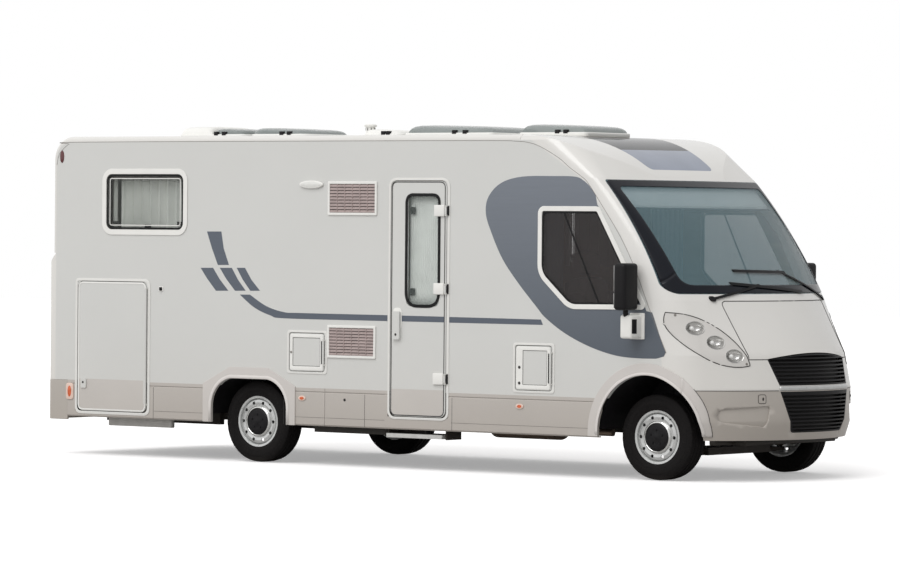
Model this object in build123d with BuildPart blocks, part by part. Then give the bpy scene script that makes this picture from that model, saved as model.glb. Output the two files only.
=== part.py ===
# An integrated motorhome on a front-wheel-drive chassis, built panel by panel.
# Millimetres. +X points ahead, +Y to the vehicle's left, +Z up, and Z = 0 is the ground.
# The origin is below the middle of the overall length, on the plane of symmetry.
from build123d import *
from math import cos, radians, sin, sqrt, tan
import os

os.makedirs("parts", exist_ok=True)

# Driving dimensions of the whole vehicle
length = 7265.0
width = 2300.0
roof_z = 2750.0
wheelbase = 4060.0
front_overhang = 932.5
wall = 30.0
rail_radius = 45.0
roof_corner_radius = 200.0
wall_bottom_z = 645.0
floor_thickness = 45.0
running_gap = 6.0

half_width = width / 2
front_axle_x = length / 2 - front_overhang
rear_axle_x = front_axle_x - wheelbase
rear_bumper_depth = 45.0
rear_x = -length / 2 + rear_bumper_depth
side_top_z = roof_z - rail_radius
side_rear_x = rear_x + rail_radius
# The shell's nose joins the straight body here
nose_join_x = front_axle_x - 1250.0
sides = ((-1, "right"), (1, "left"))

# Wheels and tyres
tyre_radius = 343.0
tyre_width = 215.0
rim_radius = 203.0
rim_lip_radius = 220.0
rim_width = 178.0
front_track = 1790.0
rear_track = 1880.0
spindle_radius = 30.0
spindle_clearance = 0.08
hand_hole_count = 10
hand_hole_radius = 14.0
hand_hole_circle = 160.0
hub_cap_radius = 112.0

# Wheel arches
front_arch_radius = 458.0
front_arch_z = 380.0
rear_arch_half = 408.0
rear_arch_top_z = 706.0
rear_arch_flat_half = 165.0
flare_width = 95.0
flare_thickness = 10.0
arch_liner_depth = 590.0
liner = 6.0

# Skirts below the side walls
skirt_bottom_z = 330.0
skirt_thickness = 16.0
skirt_groove_z = 612.0
skirt_lower_groove_z = 400.0
groove_depth = 6.0
groove_height = 7.0
skirt_joint = 4.0

# The nose, in plan sections: height, reach ahead of the front axle, front radius,
# corner radius, half width, and how far the wall's seam lies behind the corner
nose_sections = (
    (330.0, 880.0, 1400.0, 450.0, half_width, 0.0),
    (480.0, front_overhang, 1400.0, 450.0, half_width, 0.0),
    (740.0, 925.0, 1400.0, 450.0, half_width, 0.0),
    (1000.0, 850.0, 1500.0, 420.0, half_width, 0.0),
    (1430.0, 570.0, 1900.0, 330.0, half_width, 0.0),
    (1950.0, 155.0, 2600.0, 220.0, half_width, 0.0),
    (2400.0, -345.0, 5000.0, 120.0, half_width, 70.0),
    (side_top_z, -640.0, 3500.0, 280.0, half_width, 105.0),
    (side_top_z + 0.7 * rail_radius, -676.0, 3500.0, 270.0, half_width - 0.3 * rail_radius, 0.0),
    (roof_z, -705.0, 3500.0, 250.0, half_width - rail_radius, 0.0),
)
cowl_row = 4
screen_top_row = 6
roof_round_start = 1250.0
roof_round_end = 370.0

# Front openings and lamps, by height and half width in the front view
bumper_top_z = 725.0
screen_bottom_z = 1482.0
screen_top_z = 2388.0
screen_half_bottom = 1116.0
screen_half_top = 1092.0
glass = 8.0
bonnet_top_z = 1424.0
bonnet_bottom_z = 972.0
bonnet_half_top = 732.0
bonnet_half_bottom = 698.0
bonnet_thickness = 14.0
bonnet_gap = 7.0
bonnet_axis_reach = 568.0
bonnet_hinge_y = 60.0
bonnet_barrel = 26.0
grille_half_top = 550.0
grille_half_bottom = 488.0
grille_top_z = 967.0
grille_crown_z = 1012.0
grille_bottom_z = 763.0
lower_grille_half_top = 488.0
lower_grille_half_bottom = 362.0
lower_grille_top_z = 716.0
lower_grille_bottom_z = 388.0
roof_window_rear = -1180.0
roof_window_front = -456.0
roof_window_half_rear = 578.0
roof_window_half_front = 455.0

# Openings and pieces on the side walls, as ahead of and behind fixed places
door_rear_x = 143.0
door_front_x = 712.0
door_bottom_z = 440.0
door_top_z = 2371.0
door_corner = 60.0
door_thickness = 34.0
door_frame = 26.0
door_window = (299.0, 639.0, 1345.0, 2259.0)
garage_rear_x = -3283.0
garage_front_x = -2503.0
garage_top_z = 1500.0
garage_floor_z = 380.0
garage_bottom_z = garage_floor_z + running_gap
hinge_stand_off = 14.0
hinge_radius = 8.0
hinge_plate = 3.0
pin_gap = 1.0
door_hinges = (755.0, 1491.0, 2129.0)
door_hinge_length = 62.0
garage_hinges = (950.0,)
garage_hinge_length = 980.0
flap_hinge_length = 240.0
# Rear edge, front edge, bottom and top of each hinged flap on the right side
service_flap = (1424.0, 1777.0, 690.0, 1046.0)
locker_flap = (-924.0, -556.0, 785.0, 1100.0)
flap_corner = 24.0
# Pane outlines: name, sides it is on, rear edge, front edge, bottom, top, corner radius
panes = (
    ("bedroom", (-1, 1), -2966.0, -2099.0, 1951.0, 2426.0, 60.0),
    ("lounge", (1,), 300.0, 1250.0, 1700.0, 2260.0, 60.0),
    ("washroom", (1,), -1050.0, -600.0, 1800.0, 2260.0, 60.0),
)
pane_frame = 46.0
frame_proud = 8.0
# Louvred refrigerator vents on the right side: rear edge, front edge, bottom, top
vents = (
    (-523.0, -6.0, 2087.0, 2367.0),
    (-518.0, -9.0, 903.0, 1174.0),
)
vent_slats = 7
vent_proud = 12.0
cab_pane = ((1676.0, 2132.0), (2215.0, 2132.0), (2650.0, 1395.0), (1960.0, 1388.0), (1676.0, 1640.0))
cab_frame = 40.0
awning_lamp = (-823.0, -573.0, 2307.0, 2374.0)

# Floor, garage and chassis
floor_top_z = wall_bottom_z
floor_front_x = front_axle_x + 250.0
garage_bulkhead_x = garage_front_x + 43.0
garage_floor_thickness = 30.0
board = 22.0
bed_deck_z = 1540.0
bed_front_x = -1900.0
rail_y = 420.0
rail_width = 60.0
rail_height = 170.0
low_rail_height = 80.0
rail_front_x = front_axle_x + 700.0

# Running gear
kingpin_foot_y = 800.0
kingpin_foot_z = 235.0
kingpin_top_y = 620.0
kingpin_top_z = 950.0
steering_lock = 33.0

# Roof fittings: name, centre ahead of the rear wheels, length, half width, height, corner radius
roof_fittings_table = (
    ("rear_rooflight", -1132.0, 740.0, 330.0, 106.0, 60.0),
    ("middle_rooflight", -395.0, 680.0, 330.0, 98.0, 150.0),
    ("vent_dome", 640.0, 420.0, 210.0, 82.0, 100.0),
    ("lounge_rooflight", 1490.0, 930.0, 390.0, 110.0, 60.0),
    ("cab_rooflight", 2526.0, 700.0, 330.0, 112.0, 60.0),
)
chimney_radius = 58.0
chimney_height = 122.0

# Further sizes of the body
screen_corner = 90.0
screen_top_corner = 22.0
bonnet_corner = 40.0
grille_corner = 40.0
grille_rim = 14.0
grille_depth = 36.0
slat_pitch = 30.0
slat_height = 12.0
bumper_rear = 100.0
column_top_z = 1742.0
pane_recess = 2.0
pane_thickness = 22.0
vent_rim = 26.0
lamp_proud = 22.0
hinge_web = 11.0
hinge_plate_width = 30.0
lug_length = 12.0
lever_proud = 26.0
door_lever = (176.0, 250.0, 1070.0, 1300.0)
latch_proud = 12.0
garage_latch = (-3240.0, -3180.0, 580.0, 660.0)
flap_thickness = 28.0
skirt_lip = 30.0
skirt_lip_height = 10.0
skirt_lip_chamfer = 12.0
skirt_joint_x = -546.0
liner_bottom_z = 400.0
liner_wall_z = 560.0
step_well = 300.0
step_well_z = 414.0
chimney_from_rear_axle = 375.0
fitting_taper = 12.0
rear_bumper_bottom_z = 300.0
rear_bumper_front_x = -3400.0
rear_bumper_wall = 22.0
plate_half = 270.0
plate_bottom_z = 420.0
plate_height = 130.0
plate_recess = 10.0
column_round = 60.0
column_width = 200.0
column_slope = 130.0
lamp_lens = 12.0
tail_lamp_heights = (790.0, 925.0, 1060.0)
tail_lamp_inset = 115.0
tail_lamp_radius = 50.0
marker_proud = 6.0
marker_length = 62.0
marker_height = 26.0
side_markers = ((-786.0, 558.0), (1467.0, 556.0), (-3370.0, 548.0))
cross_members = (-1800.0, -300.0, 1100.0)
front_beam_half = 520.0
jack_pads = (1950.0, -2250.0)
jack_pad_length = 120.0
jack_pad_height = 12.0
tow_bolt_inset = 120.0
tow_bolt_pitch = 90.0
tow_bolt_radius = 7.0
engine_bottom_z = 390.0
engine_height = 520.0
engine_gap = 12.0
engine_length = 400.0
# Rear end, front end, inner and outer edge, and bottom of each tank
tanks = (
    (-760.0, 40.0, -1040.0, -500.0, 275.0),
    (-760.0, 60.0, 500.0, 1040.0, 300.0),
    (1000.0, 1750.0, 520.0, 960.0, 290.0),
)
tank_corner = 40.0
muffler_rear_x = 950.0
muffler_length = 620.0
muffler_y = -720.0
muffler_z = 350.0
muffler_half_width = 130.0
muffler_half_height = 75.0
exhaust_radius = 28.0
tail_pipe_length = 140.0
down_pipe_length = 520.0
hanger_inset = 60.0
trailing_arm = 420.0
beam_half = 640.0
beam_radius = 48.0
beam_z = 330.0
arm_width = 60.0
arm_half_height = 55.0
hub_offset = 68.0
spindle_short = 2.0
subframe_z = 186.0
subframe_height = 60.0
subframe_half = 450.0
subframe_half_length = 130.0
arm_thickness = 30.0
ball_joint_radius = 34.0
strut_foot_z = 500.0
strut_radius = 28.0
strut_length = 325.0
spring_foot_z = 730.0
spring_radius = 60.0
tower_arm_half = 40.0
tower_arm_z = 780.0
tower_arm_height = 26.0
knuckle_half = 38.0
knuckle_face_y = 832.0
knuckle_head_gap = 14.0
knuckle_boss = 28.0
knuckle_foot_z = subframe_z + arm_thickness + 14.0
pin_radius = 12.0
pin_depth = 24.0
knuckle_arm = 150.0
hub_inner = -30.0
hub_radius = 62.0
disc_inner = -20.0
disc_thickness = 24.0
brake_disc_radius = 142.0
carcass = 13.0
mirror_x = front_axle_x - 70.0
mirror_bracket_z = 1120.0
mirror_bracket_height = 200.0
mirror_reach = 170.0
mirror_neck = 40.0
mirror_head_z = 1348.0
mirror_head_height = 378.0
mirror_head_width = 200.0
mirror_head_depth = 110.0
mirror_head_y = 150.0
glass_clearance = 0.3
wiper_thickness = 16.0
wiper_arm_width = 16.0
wiper_blade_width = 22.0
wiper_boss_radius = 22.0
# Each wiper in the front view: pivot, elbow, and the ends of its blade
wiper_rows = (
    ((-800.0, 1446.0), (-260.0, 1556.0), (-565.0, 1568.0), (320.0, 1500.0)),
    ((800.0, 1446.0), (120.0, 1664.0), (-460.0, 1668.0), (210.0, 1655.0)),
)
step_rear_x = 90.0
step_front_x = 672.0
step_z = 262.0
step_thickness = 34.0
step_inset = 10.0
step_depth = 250.0
slide_clearance = 0.5
cradle_wall = 14.0
seat_x = 1760.0
seat_y = 470.0
seat_width = 500.0
seat_pedestal = 260.0
# Points of a seat's side view, ahead of its back's foot and above its pedestal
seat_profile = (
    (0.0, 0.0), (480.0, 0.0), (500.0, 60.0), (480.0, 130.0), (90.0, 110.0), (-60.0, 700.0),
    (-150.0, 720.0), (-190.0, 680.0), (-60.0, 60.0),
)
headrest_back = 120.0
headrest_z = 810.0
headrest_depth = 90.0
headrest_height = 190.0
headrest_width = 280.0
bulkhead = 20.0
dash_top_z = 1380.0
dash_low_z = 1040.0
dash_rear_x = front_axle_x - 330.0
dash_front_x = front_axle_x + 380.0
wheel_hub = Vector(front_axle_x - 420.0, 470.0, 1300.0)
wheel_axis = Vector(0.82, 0.0, -0.57)
column_radius = 32.0
column_length = 260.0
steering_radius = 195.0
steering_tube = 15.0
hub_boss = 40.0
# A headlight's leaf in the front view: half width and height of its tips and two edges
lamp_reach = 100.0
lamp_outer = (1126.0, 1338.0)
lamp_upper = (880.0, 1243.0)
lamp_inner = (703.0, 922.0)
lamp_lower = (985.0, 968.0)


def corner_start(row):
    """The front arc's centre, and where the corner arc leaves the flat side."""
    reach, front_radius, corner_radius, half = row[1:5]
    front_centre = front_axle_x + reach - front_radius
    corner_centre_y = half - corner_radius
    span = sqrt((front_radius - corner_radius) ** 2 - corner_centre_y**2)
    return front_centre, front_centre + span, corner_centre_y


def nose_section(row, inset, back_x, height):
    """One plan section of the nose as a face, each side drawn in by inset."""
    front_centre, corner_x, corner_y = corner_start(row)
    front_radius = row[2] - inset
    corner_radius = row[3] - inset
    half = row[4] - inset
    reach_x = front_axle_x + row[1] - inset
    turn = Vector(corner_x - front_centre, corner_y).normalized()
    tangent = Vector(front_centre, 0) + turn * front_radius
    middle = Vector(corner_x, corner_y) + (turn + Vector(0, 1)).normalized() * corner_radius
    with BuildSketch(Plane.XY.offset(height)) as section:
        with BuildLine():
            Polyline((corner_x, -half), (back_x, -half), (back_x, half), (corner_x, half))
            ThreePointArc((corner_x, half), middle, tangent)
            ThreePointArc(tangent, (reach_x, 0), (tangent.X, -tangent.Y))
            ThreePointArc((tangent.X, -tangent.Y), (middle.X, -middle.Y), (corner_x, -half))
        make_face()
    return section.sketch.face()


def nose_solid(inset, back_x):
    """The filled nose, each face drawn in by inset. An inner one runs out at the bottom."""
    rows = list(nose_sections)
    heights = [row[0] for row in rows]
    if inset > 0:
        heights[0] -= inset
        for number in range(screen_top_row + 1, len(rows)):
            heights[number] -= inset
    spans = ((0, cowl_row, True), (cowl_row, screen_top_row, False), (screen_top_row, len(rows) - 1, True))
    with BuildPart() as nose:
        for first, last, straight in spans:
            faces = [nose_section(rows[i], inset, back_x, heights[i]) for i in range(first, last + 1)]
            loft(sections=faces, ruled=straight)
        # The roof's front edge rounds down to the top of the windscreen
        top = roof_z - inset
        start = (front_axle_x - roof_round_start, top)
        drop_z = nose_sections[screen_top_row][0] - inset
        end = (front_axle_x - roof_round_end - inset * 0.7, drop_z)
        with BuildSketch(Plane.XZ.offset(-half_width - wall)):
            with BuildLine():
                TangentArc(start, end, tangent=(1, 0))
                Polyline(end, (length, drop_z), (length, -wall), (back_x - wall, -wall),
                         (back_x - wall, top), start)
            make_face()
        extrude(amount=width + 2 * wall, mode=Mode.INTERSECT)
    return nose.part


def slab(side, outer, thickness):
    """A plane for a side panel: extruded by its thickness, its outer face is at outer."""
    high_y = outer if side > 0 else thickness - outer
    return Plane.XZ.offset(-high_y)


def box_sketch(rear, front, bottom, top, corner=0.0):
    """A rounded rectangle from its edges, as a sketch to add."""
    with BuildSketch() as outline:
        with Locations(((rear + front) / 2, (bottom + top) / 2)):
            if corner > 0:
                RectangleRounded(front - rear, top - bottom, corner)
            else:
                Rectangle(front - rear, top - bottom)
    return outline.sketch


def cab_outline(grow):
    """The cab side window's outline, grown all round."""
    with BuildSketch() as outline:
        with BuildLine():
            Polyline(*cab_pane, close=True)
        make_face()
        corners = outline.vertices().sort_by(Axis.Y)
        fillet(corners[0:3:2], 150)
        fillet(outline.vertices().sort_by(Axis.Y)[-2:], 20)
        if grow:
            offset(amount=grow)
    return outline.sketch


def rear_arch_outline(grow):
    """The rear wheel arch's opening in side view, grown all round, open at the bottom."""
    half = rear_arch_half + grow
    top = rear_arch_top_z + grow
    with BuildSketch() as outline:
        with Locations((rear_axle_x, (top + skirt_bottom_z - wall) / 2)):
            Rectangle(2 * half, top - skirt_bottom_z + wall)
        fillet(outline.vertices().group_by(Axis.Y)[-1], half - rear_arch_flat_half)
    return outline.sketch


def front_arch_outline(grow):
    """The front wheel arch's opening in side view, grown all round."""
    radius = front_arch_radius + grow
    with BuildSketch() as outline:
        with Locations((front_axle_x, front_arch_z)):
            Circle(radius)
        with Locations((front_axle_x, front_arch_z - radius / 2)):
            Rectangle(2 * radius, radius)
    return outline.sketch


# The seam where a side wall meets the nose, from the bottom up
seam_rows = nose_sections[2 : screen_top_row + 2]
seam = [(corner_start(row)[1] - row[5], row[0]) for row in seam_rows]
side_corner_radius = roof_corner_radius - rail_radius


def side_outline():
    """A side wall's outline."""
    with BuildSketch() as outline:
        with BuildLine():
            Polyline(
                (side_rear_x + side_corner_radius, side_top_z),
                *reversed(seam),
                (seam[0][0], wall_bottom_z),
                (side_rear_x, wall_bottom_z),
                (side_rear_x, side_top_z - side_corner_radius),
            )
            RadiusArc(
                (side_rear_x, side_top_z - side_corner_radius),
                (side_rear_x + side_corner_radius, side_top_z),
                side_corner_radius,
            )
        make_face()
    return outline.sketch


def door_outline(grow):
    return box_sketch(door_rear_x - grow, door_front_x + grow, door_bottom_z - grow,
                      door_top_z + grow, door_corner + grow)


def garage_outline(grow):
    return box_sketch(garage_rear_x - grow, garage_front_x + grow, garage_bottom_z - grow,
                      garage_top_z + grow, door_corner + grow)


def flap_outline(flap, grow):
    return box_sketch(flap[0] - grow, flap[1] + grow, flap[2] - grow, flap[3] + grow,
                      flap_corner + grow)


# Side walls, with their windows, doors and arches cut
for side, name in sides:
    with BuildPart() as side_wall:
        with BuildSketch(slab(side, half_width, wall)):
            add(side_outline())
            for pane in panes:
                if side in pane[1]:
                    add(box_sketch(*pane[2:7]), mode=Mode.SUBTRACT)
            add(cab_outline(0.0), mode=Mode.SUBTRACT)
            add(garage_outline(running_gap), mode=Mode.SUBTRACT)
            add(rear_arch_outline(0.0), mode=Mode.SUBTRACT)
            add(front_arch_outline(0.0), mode=Mode.SUBTRACT)
            if side < 0:
                add(door_outline(running_gap), mode=Mode.SUBTRACT)
                add(flap_outline(service_flap, running_gap), mode=Mode.SUBTRACT)
                add(flap_outline(locker_flap, running_gap), mode=Mode.SUBTRACT)
        extrude(amount=wall)
    side_wall.part.label = f"side_wall_{name}"
    export_step(side_wall.part, f"parts/side_wall_{name}.step")

# Roof and rear wall between the corner rails
panel_half = half_width - rail_radius
roof_turn_x = rear_x + roof_corner_radius
roof_turn_z = roof_z - roof_corner_radius
with BuildPart() as roof:
    with BuildSketch(Plane.XZ.offset(-panel_half)):
        with BuildLine():
            Line((nose_join_x, roof_z), (roof_turn_x, roof_z))
            TangentArc((roof_turn_x, roof_z), (rear_x, roof_turn_z), tangent=(-1, 0))
            Line((rear_x, roof_turn_z), (rear_x + wall, roof_turn_z))
            TangentArc((rear_x + wall, roof_turn_z), (roof_turn_x, roof_z - wall), tangent=(0, 1))
            Line((roof_turn_x, roof_z - wall), (nose_join_x, roof_z - wall))
            Line((nose_join_x, roof_z - wall), (nose_join_x, roof_z))
        make_face()
    extrude(amount=2 * panel_half)
roof.part.label = "roof"
export_step(roof.part, "parts/roof.step")

with BuildPart() as rear_wall:
    with BuildSketch(Plane.YZ.offset(rear_x)):
        add(box_sketch(-panel_half, panel_half, wall_bottom_z, roof_turn_z))
    extrude(amount=wall)
rear_wall.part.label = "rear_wall"
export_step(rear_wall.part, "parts/rear_wall.step")



def quarter(side, from_y, from_high):
    """The rail's quarter-round section, its square corner at the given place."""
    with BuildSketch() as outline:
        with BuildLine():
            Line((from_y, from_high), (from_y + side * rail_radius, from_high))
            TangentArc((from_y + side * rail_radius, from_high), (from_y, from_high + rail_radius),
                       tangent=(0, 1))
            Line((from_y, from_high + rail_radius), (from_y, from_high))
        make_face()
    return outline.sketch


# Corner rails: a quarter round along the roof's edges and down to the corner columns
with BuildPart() as corner_rails:
    for side, name in sides:
        with BuildSketch(Plane.YZ.offset(roof_turn_x)):
            add(quarter(side, side * panel_half, side_top_z))
        extrude(amount=nose_join_x - roof_turn_x)
        with BuildSketch(Plane.YZ.offset(roof_turn_x)):
            add(quarter(side, side * panel_half, side_top_z))
        revolve(axis=Axis((roof_turn_x, 0, roof_turn_z), (0, -1, 0)), revolution_arc=90)
        with BuildSketch(Plane(origin=(side_rear_x, 0, column_top_z), x_dir=(0, 1, 0), z_dir=(0, 0, 1))):
            add(quarter(side, side * panel_half, 0.0))
        extrude(amount=roof_turn_z - column_top_z)
corner_rails.part.label = "corner_rails"
export_step(corner_rails.part, "parts/corner_rails.step")

# The nose: one shell, split where the panels meet
inner_back_x = nose_join_x - wall
nose_outer = nose_solid(0.0, nose_join_x)
nose_inner = nose_solid(wall, inner_back_x)
nose_glass = nose_solid(glass, inner_back_x)


def screen_outline(grow):
    """The windscreen in the front view."""
    with BuildSketch() as outline:
        with BuildLine():
            Polyline((-screen_half_bottom - grow, screen_bottom_z - grow),
                     (screen_half_bottom + grow, screen_bottom_z - grow),
                     (screen_half_top + grow, screen_top_z + grow),
                     (-screen_half_top - grow, screen_top_z + grow), close=True)
        make_face()
        fillet(outline.vertices().group_by(Axis.Y)[0], screen_corner + grow)
        fillet(outline.vertices().group_by(Axis.Y)[-1], screen_top_corner + grow)
    return outline.sketch


def bonnet_outline():
    """The bonnet in the front view, its lower edge arched over the grille."""
    edge = grille_half_top + bonnet_gap
    with BuildSketch() as outline:
        with BuildLine():
            Polyline((edge, bonnet_bottom_z), (bonnet_half_bottom, bonnet_bottom_z),
                     (bonnet_half_top, bonnet_top_z), (-bonnet_half_top, bonnet_top_z),
                     (-bonnet_half_bottom, bonnet_bottom_z), (-edge, bonnet_bottom_z))
            ThreePointArc((-edge, bonnet_bottom_z), (0, grille_crown_z + bonnet_gap),
                          (edge, bonnet_bottom_z))
        make_face()
        fillet(outline.vertices().group_by(Axis.Y)[-1], bonnet_corner)
    return outline.sketch


def bonnet_opening():
    """The bonnet's opening: its outline and the seam round it, straight along the bottom."""
    half_top = bonnet_half_top + bonnet_gap
    half_bottom = bonnet_half_bottom + bonnet_gap
    low_z = bonnet_bottom_z - bonnet_gap
    high_z = bonnet_top_z + bonnet_gap
    with BuildSketch() as outline:
        with BuildLine():
            Polyline((half_bottom, low_z), (half_top, high_z), (-half_top, high_z),
                     (-half_bottom, low_z), close=True)
        make_face()
        fillet(outline.vertices().group_by(Axis.Y)[-1], bonnet_corner + bonnet_gap)
    return outline.sketch


def upper_grille_outline(grow):
    """The upper grille in the front view, its top edge arched."""
    half_top = grille_half_top + grow
    half_bottom = grille_half_bottom + grow
    with BuildSketch() as outline:
        with BuildLine():
            Polyline((half_top, grille_top_z), (half_bottom, grille_bottom_z - grow),
                     (-half_bottom, grille_bottom_z - grow), (-half_top, grille_top_z))
            ThreePointArc((-half_top, grille_top_z), (0, grille_crown_z + grow),
                          (half_top, grille_top_z))
        make_face()
    return outline.sketch


def lower_grille_outline(grow):
    """The bumper's air intake in the front view, narrower towards the road."""
    with BuildSketch() as outline:
        with BuildLine():
            Polyline((lower_grille_half_top + grow, lower_grille_top_z + grow),
                     (lower_grille_half_bottom + grow, lower_grille_bottom_z - grow),
                     (-lower_grille_half_bottom - grow, lower_grille_bottom_z - grow),
                     (-lower_grille_half_top - grow, lower_grille_top_z + grow), close=True)
        make_face()
        fillet(outline.vertices().group_by(Axis.Y)[0], grille_corner)
    return outline.sketch


def lamp_outline(side, grow):
    """A headlight's leaf shape in the front view, on the given side."""
    with BuildSketch() as outline:
        with BuildLine():
            ThreePointArc((side * lamp_outer[0], lamp_outer[1]), (side * lamp_upper[0], lamp_upper[1]),
                          (side * lamp_inner[0], lamp_inner[1]))
            ThreePointArc((side * lamp_inner[0], lamp_inner[1]), (side * lamp_lower[0], lamp_lower[1]),
                          (side * lamp_outer[0], lamp_outer[1]))
        make_face()
        if grow:
            offset(amount=grow)
    return outline.sketch


def roof_window_outline(grow):
    """The roof window above the cab in plan."""
    with BuildSketch() as outline:
        with BuildLine():
            Polyline((front_axle_x + roof_window_rear - grow, -roof_window_half_rear - grow),
                     (front_axle_x + roof_window_front + grow, -roof_window_half_front - grow),
                     (front_axle_x + roof_window_front + grow, roof_window_half_front + grow),
                     (front_axle_x + roof_window_rear - grow, roof_window_half_rear + grow),
                     close=True)
        make_face()
        fillet(outline.vertices(), 60)
    return outline.sketch


def bonnet_barrels(start_y, toward):
    """Hinge barrels in the seam behind the bonnet, each with a web down or up to its panel."""
    with BuildPart() as barrels:
        for side in (-1, 1):
            middle = side * (start_y + bonnet_barrel / 2)
            with BuildSketch(Plane.XZ.offset(-middle - bonnet_barrel / 2)):
                with Locations((bonnet_axis_x, bonnet_axis_z)):
                    Circle(bonnet_gap / 2 - pin_gap / 4)
                with Locations((bonnet_axis_x - 1, bonnet_axis_z + toward * bonnet_gap / 3)):
                    Rectangle(4, bonnet_gap * 2 / 3)
            extrude(amount=bonnet_barrel)
    return barrels.part


bonnet_axis_x = front_axle_x + bonnet_axis_reach
bonnet_axis_z = bonnet_top_z + bonnet_gap / 2
view_plane = Plane.YZ.offset(nose_join_x - wall)
lamp_plane = Plane.YZ.offset(front_axle_x + lamp_reach)
through = length / 2 - nose_join_x + 2 * wall
cap_low_z = bumper_top_z
with BuildPart() as front_cap:
    add(nose_outer)
    add(nose_inner, mode=Mode.SUBTRACT)
    with BuildSketch(Plane.XY):
        add(box_sketch(0, length, -half_width - wall, half_width + wall))
    extrude(amount=cap_low_z, mode=Mode.SUBTRACT)
    for side, name in sides:
        with BuildSketch(slab(side, half_width + wall, 2 * wall)):
            add(side_outline())
        extrude(amount=2 * wall, mode=Mode.SUBTRACT)
    with BuildSketch(view_plane):
        add(screen_outline(0.0))
        add(bonnet_opening())
        add(upper_grille_outline(0.0))
    extrude(amount=through, mode=Mode.SUBTRACT)
    with BuildSketch(lamp_plane):
        for side, name in sides:
            add(lamp_outline(side, 0.0))
    extrude(amount=through, mode=Mode.SUBTRACT)
    with BuildSketch(Plane.XY.offset(screen_top_z)):
        add(roof_window_outline(0.0))
    extrude(amount=roof_z, mode=Mode.SUBTRACT)
    with BuildSketch(Plane.XZ.offset(-half_width - wall)):
        add(front_arch_outline(0.0))
    extrude(amount=width + 2 * wall, mode=Mode.SUBTRACT)
    add(bonnet_barrels(bonnet_hinge_y + bonnet_barrel + pin_gap, 1))
front_cap.part.label = "front_cap"
export_step(front_cap.part, "parts/front_cap.step")

with BuildPart() as windscreen:
    add(nose_outer)
    add(nose_glass, mode=Mode.SUBTRACT)
    with BuildSketch(view_plane):
        add(screen_outline(0.0))
    extrude(amount=through, mode=Mode.INTERSECT)
windscreen.part.label = "windscreen"
export_step(windscreen.part, "parts/windscreen.step")

with BuildPart() as roof_window:
    add(nose_outer)
    add(nose_glass, mode=Mode.SUBTRACT)
    with BuildSketch(Plane.XY.offset(screen_top_z)):
        add(roof_window_outline(0.0))
    extrude(amount=roof_z, mode=Mode.INTERSECT)
roof_window.part.label = "roof_window"
export_step(roof_window.part, "parts/roof_window.step")

with BuildPart() as bonnet:
    add(nose_outer)
    add(nose_solid(bonnet_thickness, inner_back_x), mode=Mode.SUBTRACT)
    with BuildSketch(view_plane):
        add(bonnet_outline())
    extrude(amount=through, mode=Mode.INTERSECT)
    add(bonnet_barrels(bonnet_hinge_y, -1))
bonnet.part.label = "bonnet"
export_step(bonnet.part, "parts/bonnet.step")

# Upper grille with its slats, and the intake in the bumper
nose_deep = nose_solid(grille_depth, inner_back_x)
with BuildPart() as grilles:
    add(nose_outer)
    add(nose_deep, mode=Mode.SUBTRACT)
    with BuildSketch(view_plane):
        add(upper_grille_outline(0.0))
        add(lower_grille_outline(0.0))
    extrude(amount=through, mode=Mode.INTERSECT)
    with BuildSketch(view_plane):
        upper_rows = int((grille_crown_z - grille_bottom_z) / slat_pitch)
        for row in range(upper_rows):
            with Locations((0, grille_bottom_z + slat_pitch * (row + 0.6))):
                Rectangle(2 * grille_half_top, slat_pitch - slat_height)
        add(upper_grille_outline(-grille_rim), mode=Mode.INTERSECT)
    extrude(amount=through, mode=Mode.SUBTRACT)
    with BuildSketch(view_plane):
        lower_rows = int((lower_grille_top_z - lower_grille_bottom_z) / slat_pitch)
        for row in range(lower_rows):
            with Locations((0, lower_grille_bottom_z + slat_pitch * (row + 0.6))):
                Rectangle(2 * grille_half_top, slat_pitch - slat_height)
        add(lower_grille_outline(-grille_rim), mode=Mode.INTERSECT)
    extrude(amount=through, mode=Mode.SUBTRACT)
grilles.part.label = "grilles"
export_step(grilles.part, "parts/grilles.step")

with BuildPart() as headlights:
    add(nose_outer)
    add(nose_inner, mode=Mode.SUBTRACT)
    with BuildSketch(lamp_plane):
        for side, name in sides:
            add(lamp_outline(side, 0.0))
    extrude(amount=through, mode=Mode.INTERSECT)
headlights.part.label = "headlights"
export_step(headlights.part, "parts/headlights.step")

with BuildPart() as front_bumper:
    add(nose_outer)
    add(nose_inner, mode=Mode.SUBTRACT)
    with BuildSketch(Plane.XY):
        add(box_sketch(front_axle_x + bumper_rear, length, -half_width - wall, half_width + wall))
    extrude(amount=bumper_top_z, mode=Mode.INTERSECT)
    with BuildSketch(view_plane):
        add(lower_grille_outline(0.0))
    extrude(amount=through, mode=Mode.SUBTRACT)
    with BuildSketch(Plane.XZ.offset(-half_width - wall)):
        add(front_arch_outline(0.0))
    extrude(amount=width + 2 * wall, mode=Mode.SUBTRACT)
front_bumper.part.label = "front_bumper"
export_step(front_bumper.part, "parts/front_bumper.step")

# Skirts: an extruded profile with its grooves and bottom lip, cut round arches and doors
skirt_inner = half_width - skirt_thickness
door_sill_z = door_bottom_z - running_gap
garage_sill_z = garage_bottom_z - running_gap
# Rear end, front end and top of each skirt
skirt_spans = (
    (rear_bumper_front_x, garage_rear_x - door_frame, wall_bottom_z),
    (garage_rear_x - door_frame, garage_front_x + door_frame, garage_sill_z),
    (garage_front_x + door_frame, rear_axle_x - rear_arch_half - flare_width, wall_bottom_z),
    (rear_axle_x + rear_arch_half + flare_width, skirt_joint_x, wall_bottom_z),
    (skirt_joint_x + skirt_joint, door_rear_x - door_frame, wall_bottom_z),
    (door_rear_x - door_frame, door_front_x + door_frame, door_sill_z),
    (door_front_x + door_frame, front_axle_x - front_arch_radius + wall, wall_bottom_z),
)


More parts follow.
